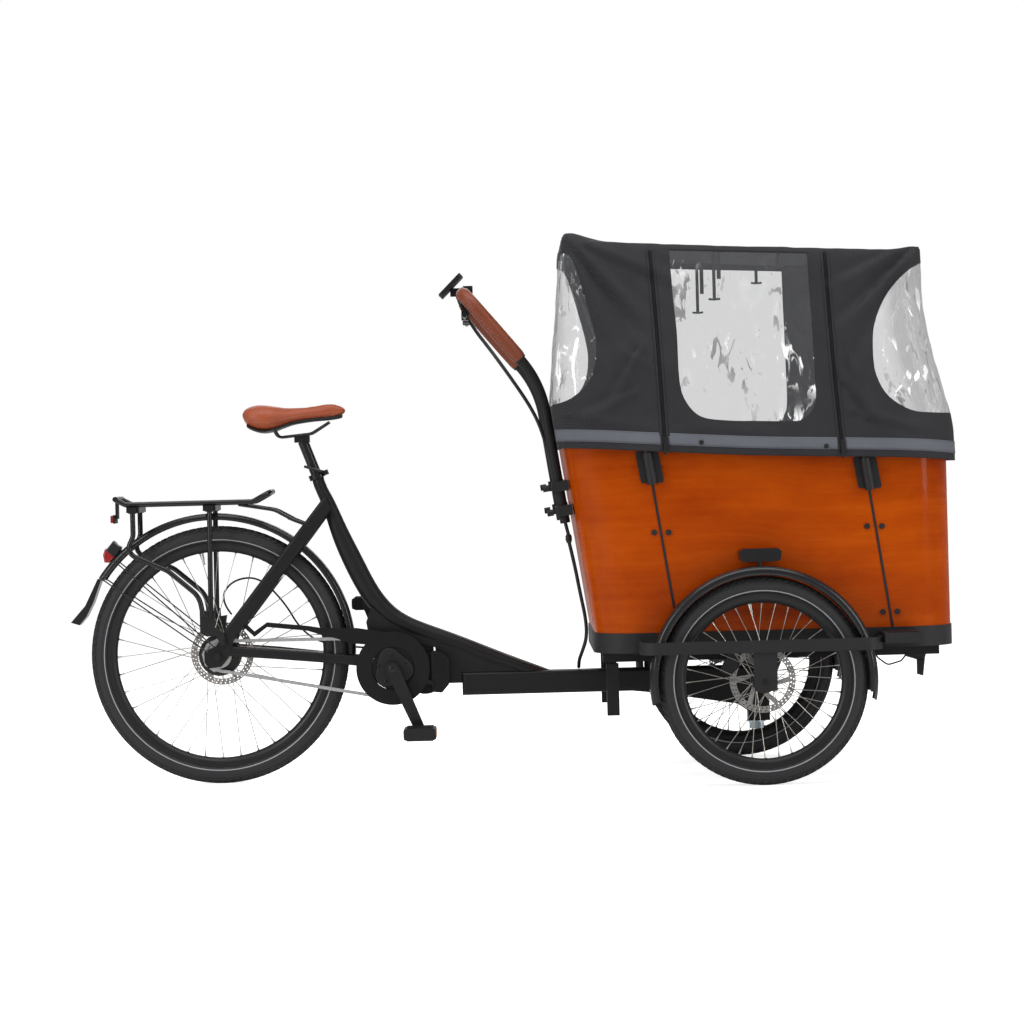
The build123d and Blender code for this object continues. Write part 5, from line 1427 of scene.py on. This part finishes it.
# a closed form swells a little under pressure, as stuffing does
def stuff(piece, sizes):
    material = piece.data.materials[0]
    remesh = piece.modifiers.new("evenMesh", "REMESH")
    remesh.mode, remesh.voxel_size, remesh.use_smooth_shade = "VOXEL", sizes["voxel"], True
    piece = settle(piece)
    before = [v.co.copy() for v in piece.data.vertices]
    cloth = piece.modifiers.new("stuffing", "CLOTH")
    cloth.settings.use_pressure = True
    cloth.settings.uniform_pressure_force = sizes["pressure"]
    cloth.settings.effector_weights.gravity = 0.0
    scene = bpy.context.scene
    for number in range(1, sizes["frames"] + 1):
        scene.frame_set(number)
    piece = settle(piece)
    scene.frame_set(1)
    for v, start in zip(piece.data.vertices, before):
        step = v.co - start
        if step.length > sizes["cap"]:
            v.co = start + step.normalized() * sizes["cap"]
    smooth = piece.modifiers.new("even", "SMOOTH")
    smooth.factor, smooth.iterations = 0.5, 5
    finer = piece.modifiers.new("finer", "SUBSURF")
    finer.levels = finer.render_levels = 1
    piece = settle(piece)
    piece.data.materials.clear()
    piece.data.materials.append(material)
    piece.data.shade_smooth()
    return piece


def makeSaddle():
    rings = smoothLine(saddleSizes["rings"], 6)
    pad = stuff(saddleShell("saddlePad", rings, 0.6, saddleHide), saddleSizes)
    put(pad, "seat", "saddle_leather", "saddle")
    tree = BVHTree.FromObject(pad, bpy.context.evaluated_depsgraph_get())
    # dark base plate that the cover is drawn over
    base = []
    for station, half, low, high in rings:
        if 84 < station < 326:
            base.append((station, half * 0.82, low - 5.0, low + 6.0))
    plate = saddleShell("saddleBase", base, 0.0, blackPlastic)
    # cover seam along the lower edge, with its thread
    seam = []
    for side in (-1, 1):
        line = []
        for station, half, low, high in rings if side > 0 else rings[::-1]:
            if 78 < station < 328:
                hit, normal, _, _ = tree.find_nearest(at(station, side * half * 1.05,
                                                         low + (high - low) * 0.2))
                line.append(hit + normal * 0.0004)
        seam += line
    piping = tubePiece("saddlePiping", seam, 0.0012, saddleHide, 3, density=3)
    sewn = [place + Vector((0, 0, 0.0042)) for place in seam]
    settled = []
    for place in sewn:
        hit, normal, _, _ = tree.find_nearest(place)
        settled.append(hit + normal * 0.0004)
    thread = alongLine("saddleThread", settled, stitch, 0.0058, threadTan)
    put(joinMeshes("saddleTrim", [plate, piping, thread]), "seat", "black_plastic")


def roundedRoute(points, radii, steps=10):
    route = [points[0]]
    for before, corner, after, radius in zip(points, points[1:], points[2:], radii):
        back, on = (before - corner).normalized(), (after - corner).normalized()
        half = back.angle(on) / 2
        reach = radius / tan(half)
        start, end = corner + back * reach, corner + on * reach
        centre = corner + (back + on).normalized() * (radius / sin(half))
        for k in range(steps + 1):
            place = start.lerp(end, k / steps)
            route.append(centre + (place - centre).normalized() * radius)
    return route + [points[-1]]


# the same line cut into short even steps
def evenSteps(route, step):
    line = [route[0]]
    for a, b in zip(route, route[1:]):
        count = max(1, int((b - a).length / step))
        line += [a.lerp(b, k / count) for k in range(1, count + 1)]
    return line


def makeGrips():
    parts = []
    legX, legZ = gripSizes["leg"]
    topX, topZ = gripSizes["top"]
    for side in (-1, 1):
        bend = at(legX - (gripSizes["bend"] - legZ) * tan(radians(gripSizes["lean"])),
                  side * gripSizes["legHalf"],
                  gripSizes["bend"])
        top = at(topX, side * gripSizes["half"], topZ)
        start = top + (bend - top).normalized() * gripSizes["length"] / 1000
        end = at(topX, side * gripSizes["inner"], topZ)
        route = evenSteps(roundedRoute([start, top, end], [gripSizes["corner"] / 1000], 14), 0.006)
        count = len(route)
        taper = []
        for k in range(count):
            near, far = max(0.0, 1 - k / 2), max(0.0, 1 - (count - 1 - k) / 2)
            taper.append(1.0 - 0.1 * near ** 2 - 0.1 * far ** 2)
        # a hand-shaped swell half way along
        taper = [t * (1 + 0.022 * sin(pi * min(1.0, k / (count * 0.62)))) for k, t in enumerate(taper)]
        parts.append(polyTube("grip", route, gripSizes["radius"] / 1000, gripHide, taper, 9))
        seam, thread = [], []
        for k in range(1, count - 1):
            tangent = (route[k + 1] - route[k - 1]).normalized()
            outward = Vector((-0.5, side * 0.72, -0.5))
            outward = (outward - tangent * outward.dot(tangent)).normalized()
            reach = gripSizes["radius"] / 1000 * taper[k]
            seam.append(route[k] + outward * (reach - 0.0002))
            tilted = (outward + tangent.cross(outward) * 0.14).normalized()
            thread.append(route[k] + tilted * (reach + 0.0002))
        parts.append(tubePiece("gripSeam", seam, 0.0008, gripHide, 2, density=3))
        parts.append(alongLine("gripThread", thread, stitch, 0.0062, threadTan))
        # end ring in black plastic
        axis = (route[1] - route[0]).normalized()
        parts.append(polyTube("gripRing", [route[0] - axis * 0.003, route[0] + axis * 0.001], 0.0158,
                              blackPlastic, None, 7))
    put(joinMeshes("leatherGrips", parts), "steering_bar", "grip_leather", "grips")


cableRoutes = {
    "upperLoom": [(654, -84, 1150), (668, -120, 1124), (703, -168, 1076), (748, -196, 1010), (800, -206, 930),
                  (826, -206, 872), (843, -206, 800), (856, -206, 730), (872, -206, 668), (885, -204, 612)],
    "lowerLoom": [(886, -204, 594), (898, -200, 540), (910, -188, 470), (924, -160, 400), (926, -120, 352),
                  (914, -70, 312), (907, -28, 290), (907, -4, 272)],
    "brakeHose": [(24, 74, 424), (-6, 76, 462), (26, 78, 512), (96, 77, 520), (160, 74, 452), (200, 68, 380),
                  (262, 62, 339), (370, 58.5, 331)],
}
cableSizes = {"upperLoom": (0.0045, 0.632), "lowerLoom": (0.0045, 0.408), "brakeHose": (0.0025, 0.514)}


def makeCable(name):
    radius, length = cableSizes[name]
    cable = drawLine(name, "NURBS", [at(*place) for place in cableRoutes[name]], radius, 5)
    cable.data.materials.append(cableSheath)
    return cable, length, radius * 2


# a cable that crosses a joint is a mesh tube along the points of its own smooth line
def makeBentCable(name):
    cable, length, thick = makeCable(name)
    radius, cable.data.bevel_depth = cable.data.bevel_depth, 0.0
    bpy.context.view_layer.update()
    line = bpy.data.meshes.new_from_object(cable.evaluated_get(bpy.context.evaluated_depsgraph_get()))
    path = [tuple(v.co) for v in line.vertices]
    cable.data.bevel_depth = radius
    return fromMeshObject(settle(cable), cableSheath), path, length, thick


def makeCables():
    upper, path, length, thick = makeBentCable("upperLoom")
    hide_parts("upper_loom")
    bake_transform(upper)
    lower, path, length, thick = makeBentCable("lowerLoom")
    joint = tubePiece("loomConnector", [at(885, -204, 613), at(885.3, -204, 607), at(885.7, -204, 599),
                                        at(886, -204, 592)],
                      0.008, cableSheath, 6, taper=[0.72, 1.0, 1.0, 0.72])
    rings = [polyTube("loomRing", [at(885.5, -204, z), at(885.5, -204, z - 1.4)], 0.0085,
                      blackPlastic) for z in (609, 604, 599)]
    connector = put(joinMeshes("loomConnector", [joint, *rings]), "carriage", "cable")
    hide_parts("lower_loom")
    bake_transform(lower)
    hose, length, thick = makeCable("brakeHose")
    put(hose, "frame", "cable", "rear_brake_hose")


makeSaddle()
makeGrips()
makeCables()
print("saddle, grips and cables made")


# chain
chainSizes = {"pitch": 0.0127, "frontTeeth": 38, "rearTeeth": 18, "y": -46.0, "crank": (438, 284),
              "width": 0.0034}


# one outer and one inner link, lying along X
def makeLink():
    pitch, parts = chainSizes["pitch"], []
    for start, offset in ((-pitch / 2, 0.0031), (pitch / 2, 0.0018)):
        outline = []
        for k in range(12):
            turn = fullTurn * (k / 12)
            end = 1 if cos(turn) >= 0 else -1
            outline.append((start + end * pitch / 2 + 0.0042 * cos(turn), 0.0042 * sin(turn)))
        for side in (-1, 1):
            low = side * offset - 0.0006
            parts.append(platePiece("plate", [outline], low, low + 0.0012, chainSteel))
        parts.append(turned("roller", [(0.0, -0.0036), (0.0024, -0.0036), (0.0036, -0.0012), (0.0036, 0.0012),
                                       (0.0024, 0.0036), (0.0, 0.0036)], 8, chainSteel, (start, 0, 0),
                            closed=False))
    return motif(joinMeshes("chainLink", parts))


def chainRoute():
    crankX, crankZ = chainSizes["crank"]
    big = chainSizes["pitch"] * 1000 / (2 * sin(pi / chainSizes["frontTeeth"]))
    small = chainSizes["pitch"] * 1000 / (2 * sin(pi / chainSizes["rearTeeth"]))
    axleZ = tyreHigh[2] * 500
    dx, dz = crankX, crankZ - axleZ
    lean = atan2(dz, dx)
    spread = asin((big - small) / hypot(dx, dz))
    line = []
    for k in range(33):
        turn = lean - pi / 2 - spread + (pi + 2 * spread) * k / 32
        line.append(at(crankX + big * cos(turn), chainSizes["y"], crankZ + big * sin(turn)))
    for k in range(25):
        turn = lean + pi / 2 + spread + (pi - 2 * spread) * k / 24
        line.append(at(small * cos(turn), chainSizes["y"], axleZ + small * sin(turn)))
    return line


put(alongLine("chainLinks", chainRoute(), makeLink(), 2 * chainSizes["pitch"], chainSteel, True), "frame",
    "chain_steel",
    "chain")
print("chain made")


# lights, reflectors and small fittings
# outline in (station, height), half width and edge radius of each part of the lamp
lampSizes = {
    "lampShell": ([(-262, 622), (-252, 611), (-243, 606), (-246, 596), (-259, 580), (-272, 590), (-280, 600)],
                  0.021, 0.003),
    "lampRed": ([(-286, 568), (-273, 567), (-258, 582), (-272, 592), (-283, 603), (-289, 588)], 0.0205,
                0.004),
    "lampClear": ([(-281, 602), (-271, 591), (-264, 598), (-268, 613), (-274, 612)], 0.0195, 0.003),
}


def sidePlate(name, outline, half, material, bevel):
    return platePiece(name, [[at(x, 0, z).xz for x, z in outline]], -half, half, material, bevel)


def makeRearLights():
    # lamp body on the mudguard: black shell, red lens low at the back, clear window above it
    lamp = [sidePlate(name, outline, half, material, bevel) for (name, (outline, half, bevel)), material
            in zip(lampSizes.items(), (blackPlastic, redLens, clearLens))]
    reflector = boxPiece("rackReflector", at(-266, -28, 667), at(-258, 28, 686), redLens, 0.002, 3)
    carrier = boxPiece("reflectorCarrier", at(-260, -30, 665.5), at(-254.5, 30, 687.5), blackPlastic, 0.0015)
    hanger = boxPiece("reflectorHanger", at(-254.5, -19, 677), at(-249, 19, 719), blackPlastic, 0.0012)
    ridge = boxPiece("lensRidge", at(-266.6, -25, 668.5), at(-265.6, -24, 684.5), redLens, 0.0)
    ridges = grow(ridge, rowTree, Count=17, Step=(0, 0.003, 0), Material=redLens)
    put(joinMeshes("rearLamps", [*lamp, reflector, carrier, hanger, ridges]), "frame", "red_lens",
        "rear_lights")


pedalSizes = {"crank": 171.6, "slope": 23, "out": 138, "reflectorAt": 40, "ridges": 14, "ridgeStep": 0.006}


def makePedalParts():
    crankX, crankZ = chainSizes["crank"]
    length, slope, out = pedalSizes["crank"], radians(pedalSizes["slope"]), pedalSizes["out"]
    for side, name in ((-1, "right"), (1, "left")):
        x, z = crankX - side * length * sin(slope), crankZ + side * length * cos(slope)
        parts = []
        for end in (-1, 1):
            station = x + end * pedalSizes["reflectorAt"]
            parts.append(boxPiece("pedalReflector", at(station - 1.6, side * out - 27, z - 8.5),
                                  at(station + 1.6, side * out + 27, z + 8.5), orangeLens, 0.001))
        # grip ridges across both faces
        for low, high in ((14.8, 16.6), (-16.6, -14.8)):
            ridge = boxPiece("pedalRidge", at(x - 33, side * out - 40, z + low),
                             at(x + 33, side * out - 38.6, z + high), None, 0.0)
            parts.append(grow(ridge, rowTree, Count=pedalSizes["ridges"],
                              Step=(0, pedalSizes["ridgeStep"], 0),
                              Material=blackPlastic))
        put(joinMeshes("pedalTrim" + name.capitalize(), parts), "pedal_" + name, "black_plastic")


def makeCrankTrim():
    crankX, crankZ = chainSizes["crank"]
    centre = at(crankX, 0, crankZ)
    # dark cover with three bumps over the chainring's middle, and its bolts
    outline = []
    for k in range(72):
        turn = fullTurn * k / 72
        reach = 0.046 + 0.0065 * cos(3 * turn + 0.6)
        outline.append((reach * cos(turn), reach * sin(turn)))
    spider = platePiece("crankCover", [outline, circleOutline(0, 0, 0.0105, 24)], -0.0605, -0.0485,
                        blackPlastic, 0.0025,
                        centre)
    places = [(centre + Vector((0.037 * cos(fullTurn * k / 5 + 0.4), -0.0605,
                                0.037 * sin(fullTurn * k / 5 + 0.4))), (0, -1, 0))
              for k in range(5)]
    bolts = studs("coverBolts", places, smallScrew, hubAnodised)
    profile = [(0.0, 0.0905), (0.0075, 0.0905), (0.0095, 0.0892), (0.0098, 0.0876), (0.0, 0.0876)]
    caps = [turned("crankCap", [(r, side * y) for r, y in profile], 28, hubAnodised, centre, closed=False)
            for side in (-1, 1)]
    put(joinMeshes("crankTrim", [spider, bolts, *caps]), "crankset", "crank_alloy")


makeRearLights()
makePedalParts()
makeCrankTrim()
print("lights and trim made")


# mudguard skins, frame gusset and strut ends
fenderSizes = {"rear": {"centre": (-9, 0, 333), "radius": 352.6, "half": 27.6, "lip": 15.0, "start": -2,
                        "end": 146},
               "front": {"radius": 276.6, "half": 31.8, "lip": 19.0, "start": 14, "end": 166},
               "rearFlap": {"radius": 273.6, "half": 29.0, "lip": 16.0, "start": 160, "end": 190},
               "frontFlap": {"radius": 273.6, "half": 29.0, "lip": 16.0, "start": -7, "end": 20},
               "wall": 2.0, "bead": 1.7}


def fenderSkin(name, sizes, centre):
    radius, half, lip = (sizes[k] / 1000 for k in ("radius", "half", "lip"))
    wall = fenderSizes["wall"] / 1000
    outer, inner = [], []
    for k in range(19):
        u = -1 + k / 9
        y, drop = half * sin(u * pi / 2), lip * abs(u) ** 3.4
        outer.append((radius - drop, y))
        inner.append((radius - wall - drop, y * (1 - wall / half * abs(u))))
    profile = outer + inner[::-1]
    count, steps = len(profile), 120
    vertices = []
    for step in range(steps + 1):
        turn = radians(sizes["start"] + (sizes["end"] - sizes["start"]) * step / steps)
        vertices += [centre + Vector((r * cos(turn), y, r * sin(turn))) for r, y in profile]
    faces = ringFaces(steps, count)
    for first in (0, steps * count):
        faces += [(first + k, first + k + 1, first + count - 2 - k,
                   first + count - 1 - k) for k in range(count // 2 - 1)]
    parts = [meshPiece(name, vertices, faces, glossPaint, 50)]
    for side in (-1, 1):
        edge = []
        for step in range(61):
            turn = radians(sizes["start"] + (sizes["end"] - sizes["start"]) * step / 60)
            reach = radius - lip - 0.0008
            edge.append(centre + Vector((reach * cos(turn), side * (half - 0.0006), reach * sin(turn))))
        parts.append(polyTube(name + "Bead", edge, fenderSizes["bead"] / 1000, glossPaint, None, 4))
    return joinMeshes(name, parts)


def makeFenders():
    rear = fenderSkin("rearMudguardSkin", fenderSizes["rear"], at(*fenderSizes["rear"]["centre"]))
    put(rear, "frame", "gloss_black")
    skins = []
    for sideName in ("left", "right"):
        low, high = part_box("front_tyre_" + sideName)
        for part in ("front", "rearFlap", "frontFlap"):
            skins.append(fenderSkin("frontMudguardSkin", fenderSizes[part], (Vector(low) + Vector(high)) / 2))
    put(joinMeshes("frontMudguardSkins", skins), "carriage", "gloss_black")


gussetOutline = [(545, 350), (600, 334), (640, 312), (700, 286), (748, 266), (612, 266), (612, 240),
                 (572, 240),
                 (572, 306), (562, 316), (545, 322)]


def makeFrameTrim():
    parts = [sidePlate("frameGusset", gussetOutline, 0.021, framePaint, 0.004)]
    for side in (-1, 1):
        parts.append(tubePiece("strutEnd",
                               [at(184, side * 51.5, 669.5), at(198, side * 51, 663), at(218, side * 46, 655),
                                            at(236, side * 40, 647)], 0.004, glossPaint, 5))
        parts.append(boxPiece("strutTab", at(228, side * 34 - 6, 640), at(244, side * 34 + 6, 654),
                              glossPaint, 0.0025))
        # weld beads where the gusset meets the curved tube
        bead = [at(545, side * 20.5, 350), at(600, side * 20.8, 335), at(640, side * 20.8, 313),
                at(700, side * 21, 287)]
        parts.append(tubePiece("weldBead", bead, 0.003, framePaint, 3))
    put(joinMeshes("frameTrim", parts), "frame", "frame_paint")
    crankX, crankZ = chainSizes["crank"]
    disc = turned("guardBacking", [(0.0, -0.0515), (0.0532, -0.0515), (0.0536, -0.0508), (0.0532, -0.0495),
                                   (0.0, -0.0495)], 64,
                  guardPlastic, at(crankX, 0, crankZ), closed=False)
    put(disc, "crankset", "black_plastic")


ribSizes = {"count": 7, "low": 262, "step": 9, "high": 3.4, "rear": 540, "front": 570, "shorter": 2.5}


def makeMotorTrim():
    # cooling ribs on the outer cover, shorter towards the top and the bottom
    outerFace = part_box("motor_housing")[0][1]
    ribs = []
    for k in range(ribSizes["count"]):
        z = ribSizes["low"] + k * ribSizes["step"]
        front = ribSizes["front"] - abs(k - ribSizes["count"] // 2) * ribSizes["shorter"]
        ribs.append(boxPiece("motorRib", at(ribSizes["rear"], 0, z) + Vector((0, outerFace - 0.0012, 0)),
                             at(front, 0, z + ribSizes["high"]) + Vector((0, outerFace + 0.004, 0)),
                             motorCast, 0.0008))
    put(joinMeshes("motorRibs", ribs), "frame", "motor_case")


makeFenders()
makeFrameTrim()
makeMotorTrim()
print("mudguards and frame trim made")

for leftover in motifs:
    bpy.data.objects.remove(leftover)
